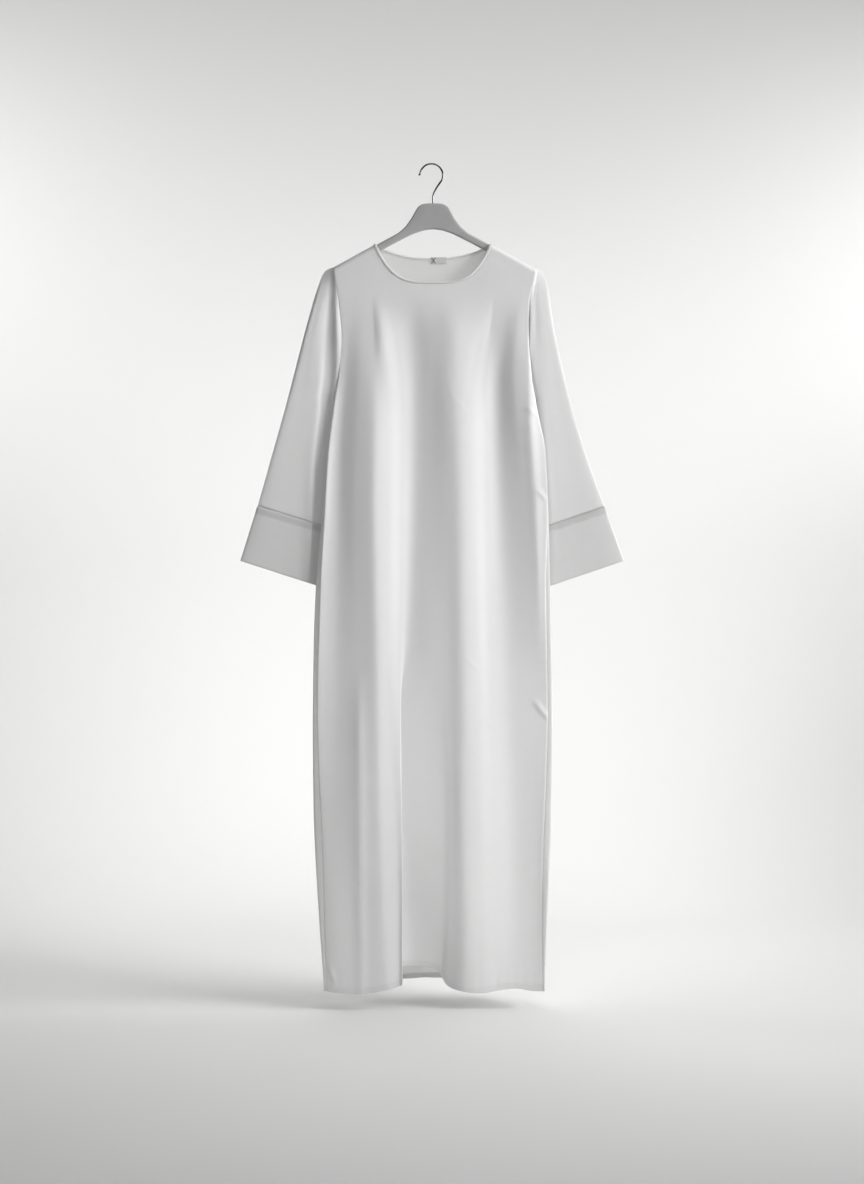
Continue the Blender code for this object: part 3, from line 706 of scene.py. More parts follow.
@dataclass
class Grid:
    """A sheet of cloth as rows of points, with what its material reads at each point."""

    points: Array
    layers: Array
    close_from: Union[int, None] = None
    close_rows: bool = False

    def mapped(self) -> Array:
        """Flat lengths across and down from the first corner, in metres, for the weave.

        Returns:
            Rows by columns by two.
        """
        wide = lengths(self.points, 1)
        deep = lengths(self.points, 0).mean(axis=1, keepdims=True)
        return np.stack([wide, np.broadcast_to(deep, wide.shape)], axis=-1) * MM


def grid_object(name: str, grid: Grid, flip: bool) -> Object:
    """Makes a grid of points a mesh object: each cell is one four-sided face.

    Args:
        name: The piece's name.
        grid: Points in millimetres, and what goes with them.
        flip: Whether the faces turn the other way, so that they point outwards.

    Returns:
        The object, at the origin.
    """
    rows, columns = grid.points.shape[:2]
    index = np.arange(rows * columns).reshape(rows, columns)
    if grid.close_from is not None:
        index[grid.close_from :, -1] = index[grid.close_from :, 0]
    if grid.close_rows:
        index[-1] = index[0]
    here = np.arange(rows * columns).reshape(rows, columns)
    corner = [slice(None, -1), slice(1, None)]
    order = [(0, 0), (1, 0), (1, 1), (0, 1)]
    quads, source = (
        np.stack([numbers[corner[a], corner[b]] for a, b in order], axis=-1).reshape(-1, 4)
        for numbers in (index, here)
    )
    if flip:
        quads, source = quads[:, ::-1], source[:, ::-1]
    used, quads = np.unique(quads, return_inverse=True)
    points = metres(grid.points)[used]
    mesh = bpy.data.meshes.new(name)
    mesh.vertices.add(len(points))
    mesh.vertices.foreach_set("co", points.ravel())
    mesh.loops.add(quads.size)
    mesh.loops.foreach_set("vertex_index", quads.reshape(-1).astype(np.int32))
    mesh.polygons.add(quads.size // 4)
    mesh.polygons.foreach_set("loop_start", np.arange(0, quads.size, 4, dtype=np.int32))
    mesh.update(calc_edges=True)
    flat = grid.mapped().reshape(-1, 2)[source.reshape(-1)]
    mesh.uv_layers.new(name="cloth").data.foreach_set("uv", flat.ravel())
    layers = mesh.attributes.new("layers", "FLOAT", "POINT")
    layers.data.foreach_set("value", grid.layers.reshape(-1)[used].astype(np.float32))
    mesh.validate()
    mesh.shade_smooth()
    return linked(name, mesh)


def metres(points: Array) -> Array:
    """A list of points in the frame's own metres."""
    return (points.reshape(-1, 3) + (CENTRE_X, 0.0, 0.0)) * MM


def linked(name: str, mesh: bpy.types.Mesh) -> Object:
    """An object of this mesh, in the scene.

    Args:
        name: The object's name.
        mesh: Its mesh.

    Returns:
        The object, at the origin.
    """
    made = bpy.data.objects.new(name, mesh)
    bpy.context.scene.collection.objects.link(made)
    return made


def thickened(piece: Object, wall: float) -> Object:
    """Gives a sheet its wall, inwards from its outer face, in millimetres.

    Args:
        piece: The sheet.
        wall: How thick its wall is.

    Returns:
        The same piece.
    """
    modifier = piece.modifiers.new("wall", "SOLIDIFY")
    modifier.thickness = wall * MM
    modifier.offset = -1.0
    modifier.use_rim = True
    return piece


def tubes_object(name: str, points: Array) -> Object:
    """Closed solids through rings of points, each ring joined to the next, with filled ends.

    Args:
        name: The piece's name.
        points: The rings of one solid or of several, in millimetres: rings by points round a
            ring by three.

    Returns:
        The object, at the origin.
    """
    index = np.arange(points.size // 3).reshape(-1, *points.shape[-3:-1])
    turned = np.roll(index, -1, axis=2)
    corners = (index[:, :-1], turned[:, :-1], turned[:, 1:], index[:, 1:])
    quads = np.stack(corners, axis=-1).reshape(-1, 4)
    faces = [*quads.tolist(), *index[:, 0, ::-1].tolist(), *index[:, -1].tolist()]
    mesh = bpy.data.meshes.new(name)
    mesh.from_pydata(metres(points).tolist(), [], faces)
    mesh.shade_smooth()
    return linked(name, mesh)


def sheet_object(name: str, grid: Grid, flip: bool, finish: Material, wall: float) -> Object:
    """A grid of points as cloth with its wall and its material."""
    return thickened(dressed(grid_object(name, grid, flip), finish), wall)


def dressed(piece: Object, finish: Material) -> Object:
    """Gives a piece its material."""
    piece.data.materials.append(finish)
    return piece


# Shaders


class Value:
    """A shader socket that can stand in arithmetic; each step adds one Math node."""

    def __init__(self, shader: "Shader", socket: Socket) -> None:
        """Keeps the socket and the shader that it belongs to."""
        self.shader = shader
        self.socket = socket

    def _with(self, operation: str, *others: object) -> "Value":
        """This value and the others through one Math node."""
        node = self.shader.node(
            "ShaderNodeMath", {"operation": operation}, dict(enumerate([self, *others]))
        )
        return Value(self.shader, node.outputs[0])

    def _swapped(self, operation: str, other: Number) -> "Value":
        """The same with this value second."""
        node = self.shader.node("ShaderNodeMath", {"operation": operation}, {0: other, 1: self})
        return Value(self.shader, node.outputs[0])

    def __add__(self, other: object) -> "Value":
        """Sum."""
        return self._with("ADD", other)

    __radd__ = __add__

    def __sub__(self, other: object) -> "Value":
        """Difference."""
        return self._with("SUBTRACT", other)

    def __rsub__(self, other: Number) -> "Value":
        """A number less this value."""
        return self._swapped("SUBTRACT", other)

    def __mul__(self, other: object) -> "Value":
        """Product."""
        return self._with("MULTIPLY", other)

    __rmul__ = __mul__

    def __pow__(self, other: object) -> "Value":
        """Power."""
        return self._with("POWER", other)

    def __rpow__(self, other: Number) -> "Value":
        """A number to the power of this value."""
        return self._swapped("POWER", other)

    def sine(self) -> "Value":
        """Sine, in radians."""
        return self._with("SINE")

    def between(self, low: float, high: float) -> "Value":
        """0 at low, 1 at high, and held there beyond them."""
        return self.shader.value("ShaderNodeMapRange", {"clamp": True}, {0: self, 1: low, 2: high})


class Shader:
    """A material that is put together from nodes."""

    def __init__(self, name: str) -> None:
        """Starts an empty material."""
        self.material = bpy.data.materials.new(name)
        self.material.use_nodes = True
        self.tree = self.material.node_tree
        self.tree.nodes.clear()

    def node(self, kind: str, settings: dict, inputs: dict) -> bpy.types.Node:
        """Adds one node.

        Args:
            kind: The node's type.
            settings: Its properties, which are set first.
            inputs: Values or links for its sockets, by name or number.

        Returns:
            The node.
        """
        made = self.tree.nodes.new(kind)
        for key, value in settings.items():
            setattr(made, key, value)
        for key, value in inputs.items():
            if isinstance(value, Value):
                self.tree.links.new(value.socket, made.inputs[key])
            elif isinstance(value, Socket):
                self.tree.links.new(value, made.inputs[key])
            else:
                made.inputs[key].default_value = value
        return made

    def value(self, kind: str, settings: dict, inputs: dict, output: object = 0) -> Value:
        """One output of a new node, ready for arithmetic."""
        return Value(self, self.node(kind, settings, inputs).outputs[output])

    def blend(self, share: Value, first: tuple, second: tuple) -> Socket:
        """A colour that goes from the first to the second as share goes from 0 to 1."""
        node = self.node(
            "ShaderNodeMix",
            {"data_type": "RGBA"},
            {0: share, 6: (*first, 1.0), 7: (*second, 1.0)},
        )
        return node.outputs[2]

    def place(self) -> Socket:
        """The piece's own coordinates, in metres."""
        return self.node("ShaderNodeTexCoord", {}, {}).outputs["Object"]

    def cloth(self) -> Socket:
        """The lengths across and down the cloth, in metres."""
        return self.node("ShaderNodeUVMap", {"uv_map": "cloth"}, {}).outputs["UV"]

    def parts(self, vector: Socket) -> list:
        """The parts of a vector, each ready for arithmetic."""
        split = self.node("ShaderNodeSeparateXYZ", {}, {0: vector})
        return [Value(self, output) for output in split.outputs]

    def noise(self, vector: Socket, scale: float, detail: float) -> Value:
        """Smooth noise from 0 to 1, by its features to a metre and its finer layers."""
        return self.value(
            "ShaderNodeTexNoise", {}, {"Vector": vector, "Scale": scale, "Detail": detail}
        )

    def bump(self, height: Value, strength: float, distance: float) -> Socket:
        """The normal of a surface with this height, and how deep it is in metres."""
        inputs = {"Strength": strength, "Distance": distance, "Height": height}
        return self.node("ShaderNodeBump", {}, inputs).outputs[0]

    def surface(self, kind: str, inputs: dict) -> Socket:
        """The output of a new surface node."""
        return self.node(kind, {}, inputs).outputs[0]

    def finish(self, surface: Socket) -> Material:
        """Sends the surface to the material's output."""
        self.node("ShaderNodeOutputMaterial", {}, {"Surface": surface})
        return self.material


@dataclass(frozen=True)
class Finish:
    """What a piece is made of, as a material."""

    name: str

    def surface(self, shader: Shader) -> Socket:
        """The material's surface, which each finish makes in its own way."""
        raise NotImplementedError

    def material(self) -> Material:
        """The finish's material."""
        shader = Shader(self.name)
        return shader.finish(self.surface(shader))


@dataclass(frozen=True)
class CrepeFinish(Finish):
    """White crepe: matte, a little sheer, with a fine pebbled weave, and painted greyer where more
    layers of it lie together, a painted shade for the light that those layers hold back."""

    colour: tuple = (0.86, 0.86, 0.86)
    # Painted shade colour for cloth that lies doubled.
    layered_shade_colour: tuple = (0.45, 0.45, 0.445)
    roughness: float = 0.78
    sheen: float = 0.12
    sheer: float = 0.32
    thread_mm: float = 0.42
    pebble_mm: float = 1.1

    def surface(self, shader: Shader) -> Socket:
        """The weave is two crossed sine waves in the cloth's own lengths, roughened by noise.

        Args:
            shader: The material's nodes.

        Returns:
            Its surface.
        """
        layers = shader.value("ShaderNodeAttribute", {"attribute_name": "layers"}, {}, "Fac")
        flat = shader.cloth()
        across_cloth, down_cloth, _ = shader.parts(flat)
        turn = 2 * math.pi / (self.thread_mm * MM)
        weave = (across_cloth * turn).sine() * (down_cloth * turn).sine()
        pebble = shader.noise(flat, scale=1 / (self.pebble_mm * MM), detail=3.0)
        slub = shader.noise(flat, scale=38.0, detail=2.0)
        normal = shader.bump(weave * 0.35 + pebble, strength=0.22, distance=0.0003)
        # Painted shade: the colour greys with the count of layers, standing in for the light that
        # doubled cloth holds back; the slub noise adds a random tone.
        tone = (layers - 1.0).between(0.0, 3.0) + (slub - 0.5) * 0.10
        cloth = shader.surface(
            "ShaderNodeBsdfPrincipled",
            {
                "Base Color": shader.blend(tone, self.colour, self.layered_shade_colour),
                "Roughness": (pebble - 0.5) * 0.08 + self.roughness,
                "Sheen Weight": self.sheen,
                "Sheen Roughness": 0.5,
                "Specular IOR Level": 0.25,
                "Normal": normal,
            },
        )
        through = shader.surface(
            "ShaderNodeBsdfTranslucent", {"Color": (0.93, 0.93, 0.92, 1.0), "Normal": normal}
        )
        return shader.surface("ShaderNodeMixShader", {0: self.sheer, 1: cloth, 2: through})


@dataclass(frozen=True)
class MouldedFinish(Finish):
    """Smooth moulded grey plastic, with a faint skin and handling marks."""

    colour: tuple = (0.40, 0.40, 0.405)
    worn_colour: tuple = (0.44, 0.44, 0.44)
    roughness: float = 0.38

    def surface(self, shader: Shader) -> Socket:
        """Noise on the piece's own coordinates varies its tone, gloss and height.

        Args:
            shader: The material's nodes.

        Returns:
            Its surface.
        """
        place = shader.place()
        cloud = shader.noise(place, scale=22.0, detail=4.0)
        grain = shader.noise(place, scale=2600.0, detail=2.0)
        inputs = {
            "Base Color": shader.blend(cloud.between(0.35, 0.75), self.colour, self.worn_colour),
            "Roughness": cloud * 0.18 + (self.roughness - 0.09),
            "Normal": shader.bump(grain, strength=0.12, distance=0.0002),
        }
        return shader.surface("ShaderNodeBsdfPrincipled", inputs)


@dataclass(frozen=True)
class WireFinish(Finish):
    """Bright plated steel wire, drawn lengthways, with a few dull rubs."""

    colour: tuple = (0.22, 0.22, 0.225)
    rubbed_colour: tuple = (0.13, 0.13, 0.135)

    def surface(self, shader: Shader) -> Socket:
        """Noise on the piece's own coordinates dulls the plating in places.

        Args:
            shader: The material's nodes.

        Returns:
            Its surface.
        """
        rub = shader.noise(shader.place(), scale=160.0, detail=4.0).between(0.45, 0.75)
        inputs = {
            "Base Color": shader.blend(rub, self.colour, self.rubbed_colour),
            "Metallic": 1.0,
            "Roughness": rub * 0.22 + 0.16,
        }
        return shader.surface("ShaderNodeBsdfPrincipled", inputs)


@dataclass(frozen=True)
class ThreadFinish(Finish):
    """Twisted sewing thread."""

    colour: tuple = (0.78, 0.78, 0.77)
    shade_colour: tuple = (0.60, 0.60, 0.59)

    def surface(self, shader: Shader) -> Socket:
        """Fine noise stands for the thread's twist.

        Args:
            shader: The material's nodes.

        Returns:
            Its surface.
        """
        twist = shader.noise(shader.place(), scale=4200.0, detail=1.0)
        inputs = {
            "Base Color": shader.blend(twist.between(0.3, 0.7), self.colour, self.shade_colour),
            "Roughness": 0.6,
            "Normal": shader.bump(twist, strength=0.3, distance=0.0001),
        }
        return shader.surface("ShaderNodeBsdfPrincipled", inputs)


@dataclass(frozen=True)
class TapeFinish(Finish):
    """Blank woven label tape, with a fine rib."""

    colour: tuple = (0.74, 0.74, 0.73)
    groove_shade_colour: tuple = (0.62, 0.62, 0.61)
    rib_mm: float = 0.5

    def surface(self, shader: Shader) -> Socket:
        """The rib is a sine wave down the tape's own length, and the colour darkens in its grooves
        as painted shade.

        Args:
            shader: The material's nodes.

        Returns:
            Its surface.
        """
        flat = shader.cloth()
        rib = (shader.parts(flat)[1] * (2 * math.pi / (self.rib_mm * MM))).sine()
        weave = shader.noise(flat, scale=2400.0, detail=1.0)
        height = rib * 0.5 + weave
        # Painted shade: the colour darkens where the rib and the weave are low.
        inputs = {
            "Base Color": shader.blend(height.between(-0.2, 1.2), self.groove_shade_colour, self.colour),
            "Roughness": weave * 0.1 + 0.5,
            "Normal": shader.bump(height, strength=0.3, distance=0.0001),
        }
        return shader.surface("ShaderNodeBsdfPrincipled", inputs)


@dataclass(frozen=True)
class PaperFinish(Finish):
    """The plain pale backdrop paper, which fades out some way off and shows one face only, so
    that it stands in front of nothing."""

    colour: tuple = (0.86, 0.86, 0.855)
    fades_from: float = 2.15
    fades_to: float = 2.9

    def surface(self, shader: Shader) -> Socket:
        """One pale matte tone with a faint tooth. It goes clear with the distance from the
        garment in plan, sqrt(x^2 + y^2), and from behind.

        Args:
            shader: The material's nodes.

        Returns:
            Its surface.
        """
        place = shader.place()
        tooth = shader.noise(place, scale=600.0, detail=2.0)
        inputs = {
            "Base Color": (*self.colour, 1.0),
            "Roughness": 0.9,
            "Normal": shader.bump(tooth, strength=0.05, distance=0.0005),
        }
        paper = shader.surface("ShaderNodeBsdfPrincipled", inputs)
        x, y, _ = shader.parts(place)
        far = ((x * x + y * y) ** 0.5).between(self.fades_from, self.fades_to)
        behind = shader.value("ShaderNodeNewGeometry", {}, {}, "Backfacing")
        clear = shader.surface("ShaderNodeBsdfTransparent", {})
        gone = (far + behind).between(0.0, 1.0)
        return shader.surface("ShaderNodeMixShader", {0: gone, 1: paper, 2: clear})


# Pieces of the garment


@dataclass
class Panel:
    """The front or the back of the body, from the shoulder seams to the hem."""

    name: str
    face: Face
    folds: Folds
    other_folds: Folds
    neckline: Neckline
    ridges: tuple
    creases: tuple
    wall: float = 0.7
    hem_turned: float = 10.0
    hem_gap: float = 1.6
    hem_rows: int = 8
    hem_proud: float = 0.30
    hem_fade: float = 1.2
    hem_groove: float = 0.22
    hem_groove_width: float = 1.1
    hem_wave: float = 0.22
    neck_dip_width: float = 1.6
    puckers: tuple = ((13.0, 1.3), (11.0, 4.2))
    pucker_reach: float = 9.0
    pucker_rise: tuple = (-120.0, 60.0)
    armhole_puckers: float = 0.35
    stitch_row: int = -8
    seam_turn: float = 0.9
    points: Array = field(init=False)

    def __post_init__(self) -> None:
        """Works out the outer face once, because the sleeves hang on its armholes."""
        self.points = self.surface()

    def outward(self, points: Array) -> Array:
        """Unit normals that point out of the garment."""
        normal = grid_normals(points)
        return normal * np.sign(normal[..., 1].mean() * self.face.value)

    def stations(self, folds: Folds) -> tuple:
        """x and y of every fold line at every height of this panel. Above the underarm, x goes
        evenly from the shoulder's and the neck's columns to the fold lines.

        Args:
            folds: This panel's fold lines or the other's, whose seams and rolls follow the
                outline.

        Returns:
            Two arrays, heights by fold lines.
        """
        downs = np.array(self.folds.downs, float)[:, None]
        left, right = (edge[:, 0] for edge in CUT.edges(downs))
        roll = CUT.read("roll", downs)[:, 0]
        fixed = {
            "left_seam": left,
            "right_seam": right,
            "left_roll": left + roll,
            "right_roll": right - roll,
        }
        below = [down for down in folds.downs if down >= CUT.underarm_down]
        xs, ys = [], []
        for line in folds.lines:
            own = fixed.get(line.name)
            xs.append(along(downs, below, line.xs)[:, 0] if own is None else own)
            ys.append(along(downs, folds.downs, line.ys)[:, 0])
        return np.array(xs).T, np.array(ys).T

    def closed(self) -> Array:
        """Which of the panel's heights lie at the underarm or below it."""
        return np.array(self.folds.downs) >= CUT.underarm_down

    def spread(self, own: Array, other: Array) -> Array:
        """Reads the stations at every column; below the underarm the front's end slope
        follows the step to the back's roll, so that it turns sharply but smoothly into the
        back.

        Args:
            own: Values at this panel's stations, heights by stations.
            other: The same of the other panel.

        Returns:
            The values, heights by columns.
        """
        before = 2 * own[:, 0] - own[:, 1]
        after = 2 * own[:, -1] - own[:, -2]
        if self.face is Face.FRONT:
            closed = self.closed()
            before[closed] = own[closed, 1] + self.seam_turn * (other[closed, 1] - own[closed, 0])
            after[closed] = own[closed, -2] + self.seam_turn * (other[closed, -2] - own[closed, -1])
        return across(own, CUT.places(), before, after)

    def rows(self) -> Array:
        """Heights of the grid: even steps from each column's own top to its own hem.

        Returns:
            Rows by columns.
        """
        top = CUT.shoulder(CUT.top_x())
        shares = CUT.neck_shares()
        neck = slice(CUT.shoulder_cells, CUT.shoulder_cells + len(shares))
        top[neck] = CUT.neck(self.neckline, shares, CUT.binding_width)
        rises = np.array(self.folds.hem_rises, float)[None]
        bottom = CUT.hem_down - across(rises, CUT.places(), rises[:, 0], rises[:, -1])[0]
        side = CUT.side_rows()
        share = (side - side[0]) / (side[-1] - side[0])
        return top + (bottom - top) * share[:, None]

    def surface(self) -> Array:
        """The outer face: x and y of the fold lines, read down every column and across every
        row, moved at its edges onto the seams, and raised by its ridges and creases.

        Returns:
            The points, rows by columns by three.
        """
        levels = np.array(self.folds.downs, float)
        closed = self.closed()
        xs, ys = self.stations(self.folds)
        other_xs, other_ys = self.stations(self.other_folds)
        places, depths = self.spread(xs, other_xs), self.spread(ys, other_ys)
        first = int(np.argmax(closed))
        share = (levels[:first] - levels[0]) / (levels[first] - levels[0])
        places[:first] = CUT.top_x() + (places[first] - CUT.top_x()) * share[:, None]
        down = self.rows()
        x = along(down, levels, places)
        left, right = CUT.edges(down[:, [0, -1]])
        fall = (1 - np.minimum(CUT.places() / CUT.shoulder_stations, 1.0)) ** 2
        x = x + (left[:, :1] - x[:, :1]) * fall + (right[:, 1:] - x[:, -1:]) * fall[::-1]
        y = along(down, levels, depths)
        ends = down[:, [0, -1]]
        seam = along(ends, FRONT_FOLDS.downs, self.seam_depths())
        off = (seam - y[:, [0, -1]]) * (ends >= CUT.underarm_down - 1.0)
        y = y + off[:, :1] * fall + off[:, 1:] * fall[::-1]
        points = np.stack([x, CUT.rounded(y, x, down), -down], axis=-1)
        return self.detailed(points)

    def seam_depths(self) -> Array:
        """y of the two side seams, which the front's and the back's edges share."""
        lines = FRONT_FOLDS.lines
        return np.array([lines[0].ys, lines[-1].ys], float).T

    def relief(self, x: Array, down: Array) -> Array:
        """Height of the ridges and creases. Across a ridge it falls off exponentially from a
        rounded tip, and across a crease as a bell, which fades at the crease's ends.

        Args:
            x: x of each point.
            down: Its height.

        Returns:
            The height of each point.
        """
        height = np.zeros_like(x)
        for ridge in self.ridges:
            middle = np.interp(down, ridge.downs, ridge.xs)
            tall = np.interp(down, ridge.downs, ridge.heights)
            off = x - middle
            width = np.where(off < 0, ridge.left_width, ridge.right_width)
            height += tall * np.exp(-(np.hypot(off, ridge.tip) - ridge.tip) / width)
        for crease in self.creases:
            run = np.array([crease.x1 - crease.x0, crease.down1 - crease.down0])
            length = float(np.linalg.norm(run))
            dx, dd = x - crease.x0, down - crease.down0
            share = (dx * run[0] + dd * run[1]) / length**2
            aside = (dd * run[0] - dx * run[1]) / length
            fade = np.clip(1 - np.abs(2 * share - 1) ** 2.5, 0.0, 1.0)
            height += crease.height * fade * bell(aside, crease.width)
        return height

    def detailed(self, points: Array) -> Array:
        """Moves the outer face along its normals by its creases, its seams' dips and puckers,
        and the doubled hem.

        Args:
            points: The smooth face.

        Returns:
            The face with its details.
        """
        x, down = points[..., 0], -points[..., 2]
        wide, from_top = lengths(points, 1), lengths(points, 0)
        from_seam, up = to_sides(points), to_bottom(points)
        left = wide < wide[:, -1:] / 2
        at_left, at_right = (ripple(down, length, seed) for length, seed in self.puckers)
        pucker = at_left * left + at_right * ~left
        start, end = (CUT.underarm_down + step for step in self.pucker_rise)
        strength = self.armhole_puckers + (1 - self.armhole_puckers) * smooth_step(down, start, end)
        places = CUT.places()
        from_neck = np.abs(places - places.mean()) - CUT.neck_stations / 2
        at_neck = 1 - smooth_step(from_neck, -0.1, 0.0)
        hem = 1 - smooth_step(up, self.hem_turned, self.hem_turned + self.hem_fade)
        wave = ripple(wide, 17.0, 2.2) * np.exp(-((up - 12.0) ** 2) / 500.0)
        height = (
            self.relief(x, down)
            + SEWN.pucker * pucker * SEWN.puckered(from_seam, self.pucker_reach) * strength
            - SEWN.dip * bell(from_seam, SEWN.dip_width)
            + self.hem_proud * hem
            - self.hem_groove * bell(up - self.hem_turned, self.hem_groove_width)
            + self.hem_wave * wave
            - SEWN.dip * bell(from_top, self.neck_dip_width) * at_neck
        )
        return points + self.outward(points) * height[..., None]

    def layers(self) -> Array:
        """How many layers of cloth lie at each point: seam allowances and the turned hem."""
        hem = 1 - smooth_step(to_bottom(self.points), self.hem_turned, self.hem_turned + 1.5)
        # The material paints the cloth greyer by these counts: painted shade where cloth lies
        # doubled.
        return 1.0 + SEWN.allowance(to_sides(self.points)) + 0.35 * hem

    def hem_line(self) -> tuple:
        """The row that the hem's stitches follow, and the cloth's normals there."""
        return self.points[self.stitch_row, 1:-1], self.outward(self.points)[self.stitch_row, 1:-1]

    def build(self, finish: Material) -> Object:
        """Makes the panel's mesh with its hem turned up inside, and dresses it.

        Args:
            finish: Its material.

        Returns:
            The piece.
        """
        points = turned_in(self.points, self.outward(self.points), self.hem_rows, self.hem_gap)
        layers = self.layers()
        turned = np.repeat(layers[-1:], len(points) - len(layers), axis=0)
        grid = Grid(points, np.concatenate([layers, turned]))
        return sheet_object(self.name, grid, self.face is Face.BACK, finish, self.wall)


@dataclass
class Sleeve:
    """A sleeve and its cuff, as rings from the armhole to the cuff's edge."""

    side: Side
    folds: tuple
    front: Panel
    back: Panel
    cells: int = 8
    arm_cells: int = 64
    cuff_cells: int = 36
    top_down: float = 196.5
    cap_down: float = 314.0
    elbow_down: float = 575.0
    wrist_down: float = 688.0
    edge_down: float = 804.0
    top_depth: float = 5.4
    clearance: float = 0.3
    wall: float = 0.7
    arm_wave: Wave = Wave(0.25, 19.0, 14.0)
    cuff_gap: float = 1.6
    cuff_proud: float = 0.7
    cuff_wave: Wave = Wave(0.35, 23.0, 16.0)
    edge_wave: Wave = Wave(0.25, 31.0, 12.0)
    cuff_allowance: float = 14.0
    allowance_wave: Wave = Wave(1.6, 42.0, 0.0)
    groove_down: float = 15.5
    groove: float = 0.25

    def seams(self) -> tuple:
        """The front's and the back's armhole edge, from below the shoulder to the underarm.

        Returns:
            Two lines of points.
        """
        seam = 0 if self.side is Side.LEFT else -1
        rows = slice(1, CUT.underarm_row() + 1)
        return self.front.points[rows, seam], self.back.points[rows, seam]

    def stations(self) -> tuple:
        """How many stations a ring has past its first, and which of them is the outer edge."""
        names = [fold.name for fold in self.folds]
        return len(names) + 1, names.index("outer") + 1

    def inner_lines(self, down: Array, at_armhole: bool) -> tuple:
        """Where each ring starts on the front and ends on the back.

        Args:
            down: Heights of the rings on the inner line.
            at_armhole: Whether the first rings lie on the armhole.

        Returns:
            Two lines of points.
        """
        known = [row for row in SLEEVE_OUTLINE if row.inner_y is not None]
        knots = column(known, "down")
        inner = column(known, f"{self.side.name.lower()}_x")
        x = along(down[:, None], knots, inner)[:, 0]
        y = along(down[:, None], knots, column(known, "inner_y"))[:, 0]
        front = np.column_stack([x, y, -down])
        back = front.copy()
        if not at_armhole:
            return front, back
        front_seam, back_seam = self.seams()
        count = len(front_seam)
        low_half = (down[:count] - CUT.armhole_middle) / (CUT.underarm_down - CUT.armhole_middle)
        share = np.clip(low_half, 0.0, 1.0)[:, None] ** 2
        away = self.clearance * share * np.array([self.side.value, 0.0, 0.0])
        joined = 0.5 * (front_seam + back_seam)
        end = front[count - 1] - joined[-1]
        front[:count] = front_seam + away + share * end
        back[:count] = back_seam + away + share * end
        front[count - 1] = back[count - 1] = joined[-1] + away[-1] + end
        return front, back

    def section(self) -> tuple:
        """Share and y of every station at every level; the first level crosses the shoulder.

        Returns:
            Two arrays, levels by stations.
        """
        last, outer = self.stations()
        station = np.arange(last + 1)
        front_half = station <= outer
        top = np.where(front_half, station / outer, (last - station) / (last - outer))
        top_y = np.where(front_half, -1.0, 1.0) * self.top_depth * (1 - top)
        tables = ((top, column(self.folds, "shares")), (top_y, column(self.folds, "ys")))
        return tuple(
            np.vstack([first, np.pad(np.array(rest, float).T, ((0, 0), (1, 1)))])
            for first, rest in tables
        )

    def rings(self, down: Array, at_armhole: bool) -> Array:
        """Points of the rings that start at these heights of the inner line: each goes out
        to the sleeve's outer edge and back, as a Catmull-Rom curve through its stations.

        Args:
            down: Heights of the rings on the inner line.
            at_armhole: Whether the first rings lie on the armhole.

        Returns:
            The points, rings by columns by three.
        """
        front, back = self.inner_lines(down, at_armhole)
        shares, depths = self.section()
        upper = [self.top_down, self.cap_down, CUT.underarm_down]
        levels = [*upper, self.elbow_down, self.wrist_down, self.edge_down]
        last = self.stations()[0]
        tall = np.repeat(down[:, None], last + 1, axis=1)
        shares, depths = along(tall, levels, shares), along(tall, levels, depths)
        depths[:, 0], depths[:, -1] = front[:, 1], back[:, 1]
        knots = column(SLEEVE_OUTLINE, "down")
        top = abs(self.seams()[0][0, 0])
        outers = column(SLEEVE_OUTLINE[1:], f"{self.side.name.lower()}_outer")
        reach = along(down[:, None], knots, [top, *outers])
        low = along(down[:, None], knots, column(SLEEVE_OUTLINE, "outer_down"))
        inner = front[:, :1]
        x = inner + (self.side.value * reach - inner) * shares
        z = -(down[:, None] + (low - down[:, None]) * shares)
        place = np.linspace(0.0, last, self.cells * last + 1)
        first_closed = CUT.underarm_row() - 1 if at_armhole else 0
        closed = np.arange(len(down)) >= first_closed
        grids = []
        for values in (x, depths, z):
            before = np.where(closed, values[:, -2], 2 * values[:, 0] - values[:, 1])
            after = np.where(closed, values[:, 1], 2 * values[:, -1] - values[:, -2])
            grids.append(across(values, place, before, after))
        return np.stack(grids, axis=-1)

    def round_wave(self, wave: Wave, wide: Array) -> Array:
        """Uneven waves round the sleeve that meet themselves where the sleeve closes.

        Args:
            wave: Their size.
            wide: Distance of each point along its ring.

        Returns:
            The waves' height at each point, before they fade out.
        """
        turns = np.round(wide[:, -1:] / wave.length)
        place = wide / wide[:, -1:] * turns * 2 * math.pi
        return wave.height * ((np.sin(place) + 0.5 * np.sin(2 * place + self.side.value)) / 1.5)

    def fading_wave(self, wave: Wave, wide: Array, off: Array) -> Array:
        """The same, falling off exponentially with the distance from their edge."""
        return self.round_wave(wave, wide) * np.exp(-off / wave.reach)

    def outward(self, points: Array) -> Array:
        """Unit normals that point out of the sleeve.

        Args:
            points: Rings of points.

        Returns:
            One normal for each point.
        """
        normal = grid_normals(points)
        ring = points.mean(axis=1, keepdims=True)
        return normal * np.sign((normal * (points - ring)).sum(axis=-1).mean())

